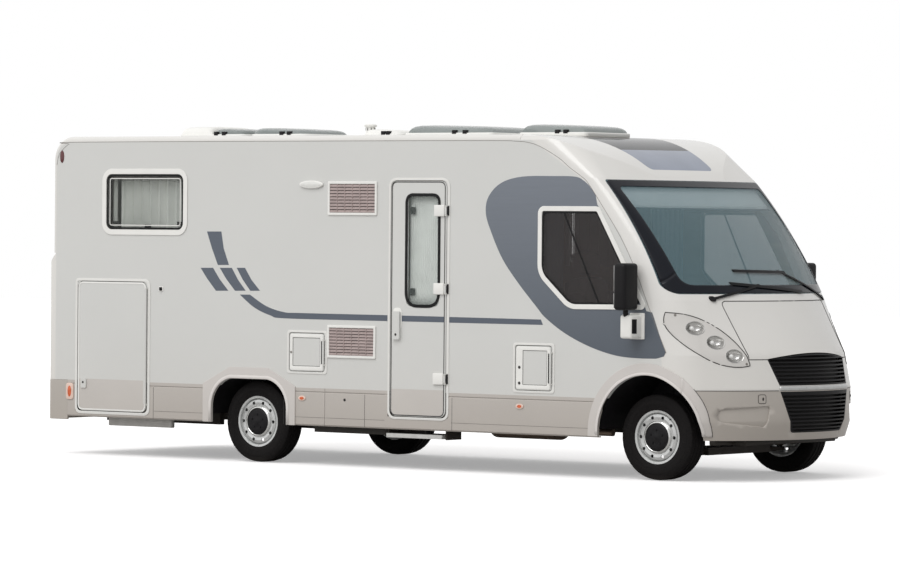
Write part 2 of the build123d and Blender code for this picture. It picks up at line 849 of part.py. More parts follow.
def skirt_outline(side, top):
    """A skirt's section: upright web with a groove, and a lip turned in at the bottom."""
    with BuildSketch() as outline:
        with BuildLine():
            groove = []
            if top > skirt_groove_z + groove_height:
                groove = [(side * half_width, skirt_groove_z + groove_height),
                          (side * (half_width - groove_depth), skirt_groove_z),
                          (side * half_width, skirt_groove_z - groove_height)]
            Polyline((side * skirt_inner, top), (side * half_width, top), *groove,
                     (side * half_width, skirt_bottom_z + skirt_lip_chamfer),
                     (side * (half_width - skirt_lip_chamfer), skirt_bottom_z),
                     (side * (skirt_inner - skirt_lip), skirt_bottom_z),
                     (side * (skirt_inner - skirt_lip), skirt_bottom_z + skirt_lip_height),
                     (side * skirt_inner, skirt_bottom_z + skirt_lip_height), close=True)
        make_face()
    return outline.sketch


with BuildPart() as skirts:
    for side, name in sides:
        for rear, front, top in skirt_spans:
            with BuildSketch(Plane.YZ.offset(rear)):
                add(skirt_outline(side, top))
            extrude(amount=front - rear)
        with BuildSketch(slab(side, half_width + wall, 3 * wall)):
            add(front_arch_outline(0.0))
            add(rear_arch_outline(0.0))
        extrude(amount=3 * wall, mode=Mode.SUBTRACT)
skirts.part.label = "skirts"
export_step(skirts.part, "parts/skirts.step")

# Flares round the wheel arches, standing proud of skirt, wall and bumper
nose_flare = nose_solid(-flare_thickness, nose_join_x)
with BuildPart() as arch_flares:
    add(nose_flare)
    add(nose_outer, mode=Mode.SUBTRACT)
    with BuildSketch(Plane.XZ.offset(-half_width - wall)):
        add(front_arch_outline(flare_width))
        add(front_arch_outline(0.0), mode=Mode.SUBTRACT)
        add(box_sketch(0, length, -wall, skirt_bottom_z + 10), mode=Mode.SUBTRACT)
        add(box_sketch(front_axle_x + 330, length, -wall, bumper_top_z + flare_width),
            mode=Mode.SUBTRACT)
    extrude(amount=width + 2 * wall, mode=Mode.INTERSECT)
    for side, name in sides:
        with BuildSketch(slab(side, half_width + flare_thickness, flare_thickness)):
            with BuildLine():
                half = rear_arch_half + flare_width
                top = rear_arch_top_z + flare_width
                Polyline((rear_axle_x - half, skirt_bottom_z), (rear_axle_x + half, skirt_bottom_z),
                         (rear_axle_x + half, wall_bottom_z + 10), (rear_axle_x + 210, top),
                         (rear_axle_x - 210, top), (rear_axle_x - half, wall_bottom_z + 10),
                         close=True)
            make_face()
            add(rear_arch_outline(0.0), mode=Mode.SUBTRACT)
        extrude(amount=flare_thickness)
        with BuildSketch(slab(side, half_width, skirt_thickness)):
            with BuildLine():
                Polyline((rear_axle_x - half, skirt_bottom_z), (rear_axle_x + half, skirt_bottom_z),
                         (rear_axle_x + half, wall_bottom_z), (rear_axle_x - half, wall_bottom_z),
                         close=True)
            make_face()
            add(rear_arch_outline(0.0), mode=Mode.SUBTRACT)
        extrude(amount=skirt_thickness)
arch_flares.part.label = "arch_flares"
export_step(arch_flares.part, "parts/arch_flares.step")

# Wheel-arch liners: arched shells over the front wheels, boxes over the rear ones
arch_inner_y = half_width - arch_liner_depth
rear_liner_inner_y = rear_track / 2 - tyre_width / 2 - 60

def arch_liner(side, outline, inner_y):
    """An arched shell over a wheel with its inner wall, on one side."""
    depth = half_width - wall - inner_y
    with BuildPart() as shell:
        with BuildSketch(slab(side, half_width - wall, depth)):
            add(outline(liner))
            add(outline(0.0), mode=Mode.SUBTRACT)
            add(box_sketch(-length, length, -length, liner_bottom_z), mode=Mode.SUBTRACT)
        extrude(amount=depth)
        with BuildSketch(slab(side, inner_y, liner)):
            add(outline(liner))
            add(box_sketch(-length, length, -length, liner_wall_z), mode=Mode.SUBTRACT)
        extrude(amount=liner)
    return shell.part


with BuildPart() as arch_liners:
    for side, name in sides:
        add(arch_liner(side, front_arch_outline, arch_inner_y))
    add(nose_inner, mode=Mode.INTERSECT)
    for side, name in sides:
        add(arch_liner(side, rear_arch_outline, rear_liner_inner_y))
arch_liners.part.label = "arch_liners"
export_step(arch_liners.part, "parts/arch_liners.step")

# Floor: cab and living floor with the wheel arches cut, and the lower garage floor
floor_half = half_width - wall
with BuildPart() as floor:
    with BuildSketch(Plane.XY.offset(floor_top_z - floor_thickness)):
        add(box_sketch(garage_bulkhead_x, floor_front_x, -floor_half, floor_half))
        for side, name in sides:
            with Locations((front_axle_x, side * half_width)):
                Rectangle(2 * (front_arch_radius + liner), 2 * (half_width - arch_inner_y + liner),
                          mode=Mode.SUBTRACT)
            with Locations((rear_axle_x, side * half_width)):
                Rectangle(2 * (rear_arch_half + liner), 2 * (half_width - rear_liner_inner_y + liner),
                          mode=Mode.SUBTRACT)
        add(box_sketch(door_rear_x - door_frame, door_front_x + door_frame, -half_width,
                       -half_width + step_well), mode=Mode.SUBTRACT)
    extrude(amount=floor_thickness)
    with BuildSketch(Plane.XY.offset(step_well_z)):
        add(box_sketch(door_rear_x - door_frame, door_front_x + door_frame, -floor_half,
                       -half_width + step_well + board))
    extrude(amount=floor_top_z - step_well_z)
    with BuildSketch(Plane.XY.offset(step_well_z + board)):
        add(box_sketch(door_rear_x - door_frame + board, door_front_x + door_frame - board,
                       -half_width, -half_width + step_well))
    extrude(amount=floor_top_z, mode=Mode.SUBTRACT)
    with BuildSketch(Plane.XY.offset(garage_floor_z - garage_floor_thickness)):
        add(box_sketch(rear_x + wall, garage_bulkhead_x + wall, -floor_half, floor_half))
    extrude(amount=garage_floor_thickness)
    with BuildSketch(Plane.XY.offset(garage_floor_z)):
        add(box_sketch(garage_bulkhead_x, garage_bulkhead_x + wall, -floor_half, floor_half))
    extrude(amount=floor_top_z - garage_floor_z)
    with BuildSketch(Plane.XY.offset(garage_floor_z - garage_floor_thickness)):
        add(box_sketch(rear_x, rear_x + wall, -floor_half, floor_half))
    extrude(amount=floor_top_z - garage_floor_z + garage_floor_thickness)
floor.part.label = "floor"
export_step(floor.part, "parts/floor.step")

# Inside: garage bulkhead, bed deck over the garage and the bedroom's partition
lining_y = half_width - wall
with BuildPart() as partitions:
    with BuildSketch(Plane.YZ.offset(garage_bulkhead_x)):
        add(box_sketch(-lining_y, lining_y, floor_top_z, bed_deck_z))
    extrude(amount=board)
    with BuildSketch(Plane.XY.offset(bed_deck_z)):
        add(box_sketch(side_rear_x, bed_front_x, -lining_y, lining_y))
        add(box_sketch(rear_x + wall, side_rear_x, -panel_half, panel_half))
    extrude(amount=board)
    with BuildSketch(Plane.YZ.offset(bed_front_x)):
        add(box_sketch(-lining_y, lining_y, floor_top_z, roof_z - wall))
        add(box_sketch(-280, 420, floor_top_z, roof_z - 350), mode=Mode.SUBTRACT)
        for side, name in sides:
            with Locations((side * (panel_half + rail_radius), roof_z)):
                Rectangle(2 * rail_radius + wall, 2 * rail_radius + wall, mode=Mode.SUBTRACT)
    extrude(amount=board)
partitions.part.label = "partitions"
export_step(partitions.part, "parts/partitions.step")

# Glass: cab side windows and the framed panes
with BuildPart() as side_windows:
    for side, name in sides:
        with BuildSketch(slab(side, half_width - pane_recess, pane_thickness)):
            for pane in panes:
                if side in pane[1]:
                    add(box_sketch(*pane[2:7]))
            add(cab_outline(0.0))
        extrude(amount=pane_thickness)
side_windows.part.label = "side_windows"
export_step(side_windows.part, "parts/side_windows.step")

with BuildPart() as window_frames:
    for side, name in sides:
        with BuildSketch(slab(side, half_width + frame_proud, frame_proud)):
            for pane in panes:
                if side in pane[1]:
                    add(box_sketch(pane[2] - pane_frame, pane[3] + pane_frame, pane[4] - pane_frame,
                                   pane[5] + pane_frame, pane[6] + pane_frame))
                    add(box_sketch(*pane[2:7]), mode=Mode.SUBTRACT)
            add(cab_outline(cab_frame))
            add(cab_outline(0.0), mode=Mode.SUBTRACT)
        extrude(amount=frame_proud)
window_frames.part.label = "window_frames"
export_step(window_frames.part, "parts/window_frames.step")

# Louvred vents of the refrigerator and the lamp over the door
with BuildPart() as wall_vents:
    for rear, front, bottom, top in vents:
        with BuildSketch(slab(-1, half_width + vent_proud, vent_proud)):
            add(box_sketch(rear, front, bottom, top, 14))
        extrude(amount=vent_proud)
        with BuildSketch(slab(-1, half_width + vent_proud, vent_proud - 3)):
            pitch = (top - bottom - 2 * vent_rim) / vent_slats
            for row in range(vent_slats):
                with Locations(((rear + front) / 2, bottom + vent_rim + pitch * (row + 0.5))):
                    Rectangle(front - rear - 2 * vent_rim, pitch * 0.55)
        extrude(amount=vent_proud - 3, mode=Mode.SUBTRACT)
    with BuildSketch(slab(-1, half_width + lamp_proud, lamp_proud)):
        add(box_sketch(*awning_lamp, 30))
    extrude(amount=lamp_proud)
wall_vents.part.label = "wall_vents"
export_step(wall_vents.part, "parts/wall_vents.step")


def hinge_knuckles(side, axis_x, heights, toward):
    """Outside hinge pieces between pairs of heights, their plates behind or ahead of the axis."""
    with BuildPart() as pieces:
        for low, high in heights:
            with BuildSketch(Plane.XY.offset(low)):
                with Locations((axis_x, side * (half_width + hinge_stand_off))):
                    Circle(hinge_radius)
                web_x = axis_x + toward * (running_gap + hinge_web) / 2
                with Locations((web_x, side * (half_width + hinge_stand_off / 2))):
                    Rectangle(hinge_web, hinge_stand_off)
                plate_x = axis_x + toward * (running_gap + hinge_plate_width) / 2
                with Locations((plate_x, side * (half_width + hinge_plate / 2))):
                    Rectangle(hinge_plate_width, hinge_plate)
            extrude(amount=high - low)
    return pieces.part


def leaf_spans(centres, hinge_length):
    return [(z - hinge_length / 2, z + hinge_length / 2) for z in centres]


def wall_spans(centres, hinge_length):
    spans = []
    for z in centres:
        spans.append((z + hinge_length / 2 + pin_gap, z + hinge_length / 2 + pin_gap + lug_length))
        spans.append((z - hinge_length / 2 - pin_gap - lug_length, z - hinge_length / 2 - pin_gap))
    return spans


# Every outside hinge: side, axis ahead of the edge it hangs on, heights and length
door_axis_x = door_front_x + running_gap / 2
garage_axis_x = garage_front_x + running_gap / 2
service_axis_x = service_flap[1] + running_gap / 2
locker_axis_x = locker_flap[1] + running_gap / 2
service_z = (service_flap[2] + service_flap[3]) / 2
locker_z = (locker_flap[2] + locker_flap[3]) / 2
hinge_rows = (
    (-1, door_axis_x, door_hinges, door_hinge_length),
    (-1, garage_axis_x, garage_hinges, garage_hinge_length),
    (1, garage_axis_x, garage_hinges, garage_hinge_length),
    (-1, service_axis_x, (service_z,), flap_hinge_length),
    (-1, locker_axis_x, (locker_z,), flap_hinge_length * 0.8),
)
with BuildPart() as wall_hinges:
    for side, axis_x, centres, hinge_length in hinge_rows:
        add(hinge_knuckles(side, axis_x, wall_spans(centres, hinge_length), 1))
wall_hinges.part.label = "wall_hinges"
export_step(wall_hinges.part, "parts/wall_hinges.step")

# Entry door with its window cut, and its pane and lever
with BuildPart() as entry_door:
    with BuildSketch(slab(-1, half_width, door_thickness)):
        add(door_outline(0.0))
        add(box_sketch(*door_window, 50), mode=Mode.SUBTRACT)
    extrude(amount=door_thickness)
    add(hinge_knuckles(-1, door_axis_x, leaf_spans(door_hinges, door_hinge_length), -1))
    with BuildSketch(slab(-1, half_width + lever_proud, lever_proud)):
        add(box_sketch(*door_lever, 12))
    extrude(amount=lever_proud)
entry_door.part.label = "entry_door"
export_step(entry_door.part, "parts/entry_door.step")

with BuildPart() as entry_door_pane:
    with BuildSketch(slab(-1, half_width - pane_recess, pane_thickness)):
        add(box_sketch(*door_window, 50))
    extrude(amount=pane_thickness)
entry_door_pane.part.label = "entry_door_pane"
export_step(entry_door_pane.part, "parts/entry_door_pane.step")

# Garage doors, one each side
for side, name in sides:
    with BuildPart() as garage_door:
        with BuildSketch(slab(side, half_width, door_thickness)):
            add(garage_outline(0.0))
        extrude(amount=door_thickness)
        add(hinge_knuckles(side, garage_axis_x, leaf_spans(garage_hinges, garage_hinge_length), -1))
        with BuildSketch(slab(side, half_width + latch_proud, latch_proud)):
            add(box_sketch(*garage_latch, 12))
        extrude(amount=latch_proud)
    garage_door.part.label = f"garage_door_{name}"
    export_step(garage_door.part, f"parts/garage_door_{name}.step")

# Service and locker flaps
for flap, axis_x, z, share, name in (
    (service_flap, service_axis_x, service_z, 1.0, "service_flap"),
    (locker_flap, locker_axis_x, locker_z, 0.8, "locker_flap"),
):
    with BuildPart() as small_flap:
        with BuildSketch(slab(-1, half_width, flap_thickness)):
            add(flap_outline(flap, 0.0))
        extrude(amount=flap_thickness)
        add(hinge_knuckles(-1, axis_x, leaf_spans((z,), flap_hinge_length * share), -1))
    small_flap.part.label = name
    export_step(small_flap.part, f"parts/{name}.step")

# Rooflights and domes on the roof, and the heater's flue
with BuildPart() as roof_fittings:
    for name, from_rear_axle, long_side, half_side, height, corner in roof_fittings_table:
        with BuildSketch(Plane.XY.offset(roof_z)):
            with Locations((rear_axle_x + from_rear_axle, 0)):
                RectangleRounded(long_side, 2 * half_side, corner)
        extrude(amount=height, taper=fitting_taper)
    with BuildSketch(Plane.XY.offset(roof_z)):
        with Locations((rear_axle_x + chimney_from_rear_axle, 0)):
            Circle(chimney_radius)
    extrude(amount=chimney_height)
roof_fittings.part.label = "roof_fittings"
export_step(roof_fittings.part, "parts/roof_fittings.step")

# Rear bumper, wrapped round the corners, with the lamp columns above it
bumper_back_x = -length / 2
with BuildPart() as rear_bumper:
    with BuildSketch(Plane.XY.offset(rear_bumper_bottom_z)):
        add(box_sketch(bumper_back_x, rear_bumper_front_x + 60, -half_width, half_width, 55))
        add(box_sketch(rear_x, length, -half_width + rear_bumper_wall, half_width - rear_bumper_wall),
            mode=Mode.SUBTRACT)
        add(box_sketch(rear_bumper_front_x, length, -half_width, half_width), mode=Mode.SUBTRACT)
    extrude(amount=wall_bottom_z - rear_bumper_bottom_z)
    with BuildSketch(Plane.YZ.offset(bumper_back_x)):
        add(box_sketch(-plate_half, plate_half, plate_bottom_z, plate_bottom_z + plate_height))
    extrude(amount=plate_recess, mode=Mode.SUBTRACT)
rear_bumper.part.label = "rear_bumper"
export_step(rear_bumper.part, "parts/rear_bumper.step")


def tail_lamp_circles():
    """The round rear lamps of both columns, seen from behind."""
    with BuildSketch() as outline:
        for side, name in sides:
            for height in tail_lamp_heights:
                with Locations((side * (half_width - tail_lamp_inset), height)):
                    Circle(tail_lamp_radius)
    return outline.sketch


with BuildPart() as lamp_columns:
    for side, name in sides:
        with BuildSketch(Plane.XY.offset(wall_bottom_z)):
            with BuildLine():
                Polyline((side_rear_x, side * panel_half), (side_rear_x, side * half_width),
                         (bumper_back_x + column_round, side * half_width))
                TangentArc((bumper_back_x + column_round, side * half_width),
                           (bumper_back_x, side * (half_width - column_round)), tangent=(-1, 0))
                Polyline((bumper_back_x, side * (half_width - column_round)),
                         (bumper_back_x, side * (half_width - column_width)),
                         (rear_x, side * (half_width - column_width - wall)),
                         (rear_x, side * panel_half), (side_rear_x, side * panel_half))
            make_face()
        extrude(amount=column_top_z - wall_bottom_z)
    # The columns' tops slope down to the rear
    with BuildSketch(Plane.XZ.offset(-half_width - wall)):
        with BuildLine():
            Polyline((side_rear_x, column_top_z), (side_rear_x, column_top_z + wall),
                     (bumper_back_x - wall, column_top_z + wall), (bumper_back_x - wall, column_top_z - column_slope),
                     close=True)
        make_face()
    extrude(amount=width + 2 * wall, mode=Mode.SUBTRACT)
    with BuildSketch(Plane.YZ.offset(bumper_back_x)):
        add(tail_lamp_circles())
    extrude(amount=lamp_lens, mode=Mode.SUBTRACT)
lamp_columns.part.label = "lamp_columns"
export_step(lamp_columns.part, "parts/lamp_columns.step")

with BuildPart() as lamps:
    with BuildSketch(Plane.YZ.offset(bumper_back_x)):
        add(tail_lamp_circles())
    extrude(amount=lamp_lens)
    for side, name in sides:
        for x, z in side_markers:
            with BuildSketch(slab(side, half_width + marker_proud, marker_proud)):
                with Locations((x, z)):
                    RectangleRounded(marker_length, marker_height, marker_height / 2.2)
            extrude(amount=marker_proud)
lamps.part.label = "lamps"
export_step(lamps.part, "parts/lamps.step")

# Chassis: main rails, the low rails under the garage, cross members and the front beam
floor_low_z = floor_top_z - floor_thickness
low_rail_top = garage_floor_z - garage_floor_thickness
with BuildPart() as chassis_frame:
    for side, name in sides:
        y = side * rail_y
        with BuildSketch(Plane.YZ.offset(garage_bulkhead_x + wall)):
            add(box_sketch(y - rail_width / 2, y + rail_width / 2, floor_low_z - rail_height, floor_low_z))
        extrude(amount=rail_front_x - garage_bulkhead_x - wall)
        with BuildSketch(Plane.YZ.offset(rear_x + wall)):
            add(box_sketch(y - rail_width / 2, y + rail_width / 2, low_rail_top - low_rail_height,
                           low_rail_top))
        extrude(amount=garage_bulkhead_x - rear_x)
        with BuildSketch(Plane.YZ.offset(garage_bulkhead_x + wall)):
            add(box_sketch(y - rail_width / 2, y + rail_width / 2, low_rail_top - low_rail_height,
                           floor_low_z))
        extrude(amount=rail_height)
    # Jacking pads below the rails
    for x in jack_pads:
        with BuildSketch(Plane.XY.offset(floor_low_z - rail_height - jack_pad_height)):
            with Locations((x, rail_y), (x, -rail_y)):
                Rectangle(jack_pad_length, rail_width - 8)
        extrude(amount=jack_pad_height + 1)
    for x in cross_members:
        with BuildSketch(Plane.XZ.offset(-rail_y)):
            add(box_sketch(x - rail_width / 2, x + rail_width / 2, floor_low_z - rail_height * 0.6,
                           floor_low_z))
        extrude(amount=2 * rail_y)
    with BuildSketch(Plane.XZ.offset(-rail_y)):
        add(box_sketch(rear_x + wall, rear_x + wall + rail_width, low_rail_top - low_rail_height,
                       low_rail_top))
    extrude(amount=2 * rail_y)
    with BuildSketch(Plane.XZ.offset(-front_beam_half)):
        add(box_sketch(rail_front_x, rail_front_x + rail_width, floor_low_z - rail_height, floor_low_z))
    extrude(amount=2 * front_beam_half)
    with BuildSketch(Plane.XZ.offset(-rail_y - rail_width)):
        for bolt in range(2):
            with Locations((rear_x + wall + tow_bolt_inset + bolt * tow_bolt_pitch,
                            low_rail_top - low_rail_height / 2)):
                Circle(tow_bolt_radius)
    extrude(amount=2 * rail_y + 2 * rail_width, mode=Mode.SUBTRACT)
    # The cradle that the entry step runs in
    for x, toward, top in ((step_rear_x, -1, floor_low_z), (step_front_x, 1, step_well_z)):
        face_x = x + toward * slide_clearance
        with BuildSketch(Plane.XZ.offset(half_width - step_inset - step_depth)):
            add(box_sketch(min(face_x, face_x + toward * cradle_wall),
                           max(face_x, face_x + toward * cradle_wall), step_z - 8, top))
        extrude(amount=step_depth * 0.8)
chassis_frame.part.label = "chassis_frame"
export_step(chassis_frame.part, "parts/chassis_frame.step")

# The engine and gearbox as one block between the rails, ahead of the cab's bulkhead
engine_rear_x = floor_front_x + bulkhead + engine_gap
with BuildPart() as engine_block:
    with BuildSketch(Plane.XY.offset(engine_bottom_z)):
        add(box_sketch(engine_rear_x, engine_rear_x + engine_length, -rail_y + rail_width / 2,
                       rail_y - rail_width / 2))
    extrude(amount=engine_height)
engine_block.part.label = "engine_block"
export_step(engine_block.part, "parts/engine_block.step")

# Tanks and exhaust below the floor
with BuildPart() as underfloor_tanks:
    for rear, front, inner, outer, bottom in tanks:
        with BuildSketch(Plane.XY.offset(bottom)):
            add(box_sketch(rear, front, inner, outer, tank_corner))
        extrude(amount=floor_low_z - bottom)
underfloor_tanks.part.label = "underfloor_tanks"
export_step(underfloor_tanks.part, "parts/underfloor_tanks.step")

with BuildPart() as exhaust:
    with BuildSketch(Plane.YZ.offset(muffler_rear_x)):
        with Locations((muffler_y, muffler_z)):
            Ellipse(muffler_half_width, muffler_half_height)
    extrude(amount=muffler_length)
    with BuildSketch(Plane.YZ.offset(muffler_rear_x - tail_pipe_length)):
        with Locations((muffler_y, muffler_z)):
            Circle(exhaust_radius)
    extrude(amount=tail_pipe_length)
    with BuildSketch(Plane.YZ.offset(muffler_rear_x + muffler_length)):
        with Locations((muffler_y, muffler_z)):
            Circle(exhaust_radius)
    extrude(amount=down_pipe_length)
    for x in (muffler_rear_x + hanger_inset, muffler_rear_x + muffler_length - hanger_inset):
        with BuildSketch(Plane.XY.offset(muffler_z)):
            with Locations((x, muffler_y)):
                Rectangle(30, 20)
        extrude(amount=floor_low_z - muffler_z)
exhaust.part.label = "exhaust"
export_step(exhaust.part, "parts/exhaust.step")

# Rear axle: torsion beam with trailing arms and stub axles
with BuildPart() as rear_axle:
    beam_x = rear_axle_x + trailing_arm
    with BuildSketch(Plane.XZ.offset(-beam_half)):
        with Locations((beam_x, beam_z)):
            Circle(beam_radius)
    extrude(amount=2 * beam_half)
    for side, name in sides:
        with BuildSketch(slab(side, beam_half + arm_width, arm_width)):
            with BuildLine():
                Polyline((beam_x + beam_radius, beam_z - beam_radius), (beam_x + beam_radius, beam_z + beam_radius),
                         (rear_axle_x, tyre_radius + arm_half_height), (rear_axle_x - arm_half_height, tyre_radius),
                         (rear_axle_x, tyre_radius - arm_half_height), close=True)
            make_face()
        extrude(amount=arm_width)
        spindle_end = rear_track / 2 + hub_offset - spindle_short
        with BuildSketch(slab(side, spindle_end, spindle_end - beam_half)):
            with Locations((rear_axle_x, tyre_radius)):
                Circle(spindle_radius)
        extrude(amount=spindle_end - beam_half)
        with BuildSketch(Plane.XY.offset(beam_z)):
            with Locations((beam_x, side * rail_y)):
                Rectangle(90, 60)
        extrude(amount=floor_low_z - rail_height - beam_z)
rear_axle.part.label = "rear_axle"
export_step(rear_axle.part, "parts/rear_axle.step")

# Front suspension: subframe, lower arms and the struts on the kingpin line

def kingpin_point(side, z):
    """A point of one side's kingpin line at height z, over the front axle."""
    share = (z - kingpin_foot_z) / (kingpin_top_z - kingpin_foot_z)
    y = kingpin_foot_y + share * (kingpin_top_y - kingpin_foot_y)
    return Vector(front_axle_x, side * y, z)


def kingpin_plane(side, z):
    """A plane square to one side's kingpin line at height z, facing up along it."""
    up = kingpin_point(side, kingpin_top_z) - kingpin_point(side, kingpin_foot_z)
    return Plane(origin=kingpin_point(side, z), x_dir=(1, 0, 0), z_dir=up)


with BuildPart() as front_axle:
    with BuildSketch(Plane.XY.offset(subframe_z)):
        add(box_sketch(front_axle_x - subframe_half_length, front_axle_x + subframe_half_length,
                       -subframe_half, subframe_half))
    extrude(amount=subframe_height)
    for side, name in sides:
        with BuildSketch(Plane.XY.offset(subframe_z)):
            with BuildLine():
                Polyline((front_axle_x - 150, side * (subframe_half - 20)),
                         (front_axle_x + 90, side * (subframe_half - 20)),
                         (front_axle_x + 30, side * kingpin_foot_y),
                         (front_axle_x - 30, side * kingpin_foot_y), close=True)
            make_face()
        extrude(amount=arm_thickness)
        with BuildSketch(Plane.XY.offset(subframe_z)):
            with Locations((front_axle_x, side * kingpin_foot_y)):
                Circle(ball_joint_radius)
        extrude(amount=arm_thickness)
        with BuildSketch(Plane.XY.offset(subframe_z + subframe_height)):
            with Locations((front_axle_x, side * rail_y)):
                Rectangle(2 * rail_width, rail_width)
        extrude(amount=floor_low_z - rail_height - subframe_z - subframe_height)
        with BuildSketch(Plane.XY.offset(tower_arm_z)):
            strut_top = kingpin_point(side, tower_arm_z)
            with Locations((front_axle_x, side * (arch_inner_y + abs(strut_top.Y)) / 2)):
                Rectangle(2 * tower_arm_half, abs(strut_top.Y) - arch_inner_y)
        extrude(amount=tower_arm_height)
        with BuildSketch(kingpin_plane(side, strut_foot_z)):
            Circle(strut_radius)
        extrude(amount=strut_length)
        arm_middle_z = subframe_z + arm_thickness / 2
        head_z = strut_foot_z - knuckle_head_gap
        for low_z, high_z in ((arm_middle_z, knuckle_foot_z + pin_depth), (head_z - pin_depth, strut_foot_z + 1)):
            with BuildSketch(kingpin_plane(side, low_z)):
                Circle(pin_radius)
            extrude(amount=high_z - low_z)
        with BuildSketch(kingpin_plane(side, spring_foot_z)):
            Circle(spring_radius)
        extrude(amount=strut_length - (spring_foot_z - strut_foot_z))
front_axle.part.label = "front_axle"
export_step(front_axle.part, "parts/front_axle.step")

# Steering knuckles: upright between ball joint and strut, with the wheel's stub axle
for side, name in sides:
    with BuildPart() as knuckle:
        with BuildSketch(Plane.YZ.offset(front_axle_x - knuckle_half)):
            foot = kingpin_point(side, knuckle_foot_z)
            head = kingpin_point(side, strut_foot_z - knuckle_head_gap)
            lean = (head - foot).normalized()
            across = Vector(0, lean.Z, -lean.Y) * side * knuckle_boss
            inner_foot, outer_foot = foot - across, foot + across
            inner_head, outer_head = head - across, head + across
            with BuildLine():
                Polyline((inner_foot.Y, inner_foot.Z), (outer_foot.Y, outer_foot.Z),
                         (side * knuckle_face_y, tyre_radius - knuckle_boss * 2),
                         (side * knuckle_face_y, tyre_radius + knuckle_boss * 2),
                         (outer_head.Y, outer_head.Z), (inner_head.Y, inner_head.Z), close=True)
            make_face()
        extrude(amount=2 * knuckle_half)
        with BuildSketch(kingpin_plane(side, knuckle_foot_z - pin_gap)):
            Circle(pin_radius + spindle_clearance)
        extrude(amount=pin_depth + 2 * pin_gap, mode=Mode.SUBTRACT)
        with BuildSketch(kingpin_plane(side, strut_foot_z - knuckle_head_gap - pin_depth - pin_gap)):
            Circle(pin_radius + spindle_clearance)
        extrude(amount=pin_depth + 2 * pin_gap, mode=Mode.SUBTRACT)
        spindle_end = front_track / 2 + hub_offset - spindle_short
        with BuildSketch(slab(side, spindle_end, spindle_end - knuckle_face_y + 10)):
            with Locations((front_axle_x, tyre_radius)):
                Circle(spindle_radius)
        extrude(amount=spindle_end - knuckle_face_y + 10)
        with BuildSketch(Plane.XY.offset(tyre_radius - 70)):
            with BuildLine():
                Polyline((front_axle_x, side * (knuckle_face_y - 60)), (front_axle_x, side * (knuckle_face_y - 10)),
                         (front_axle_x - knuckle_arm, side * (knuckle_face_y - 40)),
                         (front_axle_x - knuckle_arm, side * (knuckle_face_y - 75)), close=True)
            make_face()
        extrude(amount=24)
    knuckle.part.label = f"knuckle_{name}"
    export_step(knuckle.part, f"parts/knuckle_{name}.step")

# Wheels: a pressed rim with hand holes, hub and brake disc, and its tyre
# Profile points as offset outboard of the rim's middle, and radius
bore = spindle_radius + spindle_clearance
rim_half = rim_width / 2
rim_section = (
    (-rim_half, rim_lip_radius), (-rim_half + 7, rim_lip_radius), (-rim_half + 9, rim_radius + 4),
    (-42, rim_radius - 3), (-30, rim_radius - 16), (42, rim_radius - 16), (54, rim_radius - 3),
    (rim_half - 9, rim_radius + 4), (rim_half - 7, rim_lip_radius), (rim_half, rim_lip_radius),
    (rim_half - 3, rim_radius - 6), (64, rim_radius - 14), (80, rim_radius - 22),
    (86, hand_hole_circle), (78, hub_cap_radius + 10), (hub_offset + 7, hub_cap_radius),
    (hub_offset + 7, bore), (hub_inner, bore), (hub_inner, hub_radius),
    (disc_inner, hub_radius), (disc_inner, brake_disc_radius), (disc_inner + disc_thickness, brake_disc_radius),
    (disc_inner + disc_thickness, hub_radius), (hub_offset, hub_radius), (hub_offset, hub_cap_radius),
    (70, hub_cap_radius + 12), (79, hand_hole_circle), (73, rim_radius - 26), (60, rim_radius - 22),
    (-34, rim_radius - 22), (-46, rim_radius - 9), (-rim_half + 3, rim_radius - 2),
)
tyre_half = tyre_width / 2
tread_half = tyre_half - 18
bead_half = rim_half - 9.5
tyre_outer = (
    (-bead_half, rim_radius + 4.3), (-bead_half, rim_lip_radius + 1), (-rim_half - 6, rim_lip_radius + 6),
    (-tyre_half, rim_lip_radius + 45),
    (-tyre_half + 5, tyre_radius - 32), (-tread_half, tyre_radius - 6), (-tread_half + 20, tyre_radius),
)
tyre_inner = (
    (-bead_half + carcass, rim_radius + 4.3), (-bead_half + carcass, rim_lip_radius + 4),
    (-tyre_half + carcass, rim_lip_radius + 45), (-tyre_half + 5 + carcass, tyre_radius - 38),
    (-tread_half + 10, tyre_radius - carcass - 4),
)
tyre_section = (
    tyre_outer + tuple((-offset, r) for offset, r in reversed(tyre_outer))
    + tuple((-offset, r) for offset, r in tyre_inner) + tuple(reversed(tyre_inner))
)
cap_section = (
    (hub_offset + 7, 0), (hub_offset + 7, hub_cap_radius), (hub_offset + 15, hub_cap_radius - 4),
    (hub_offset + 24, 60), (hub_offset + 28, 34), (hub_offset + 29, 0),
)


def wheel_section(side, centre_x, centre_y, points):
    """A wheel's half section at its place, from offsets and radii, as a face to revolve."""
    with BuildSketch(Plane.YZ.offset(centre_x)) as section:
        with BuildLine():
            Polyline(*[(side * (centre_y + offset), tyre_radius + r) for offset, r in points], close=True)
        make_face()
    return section.sketch


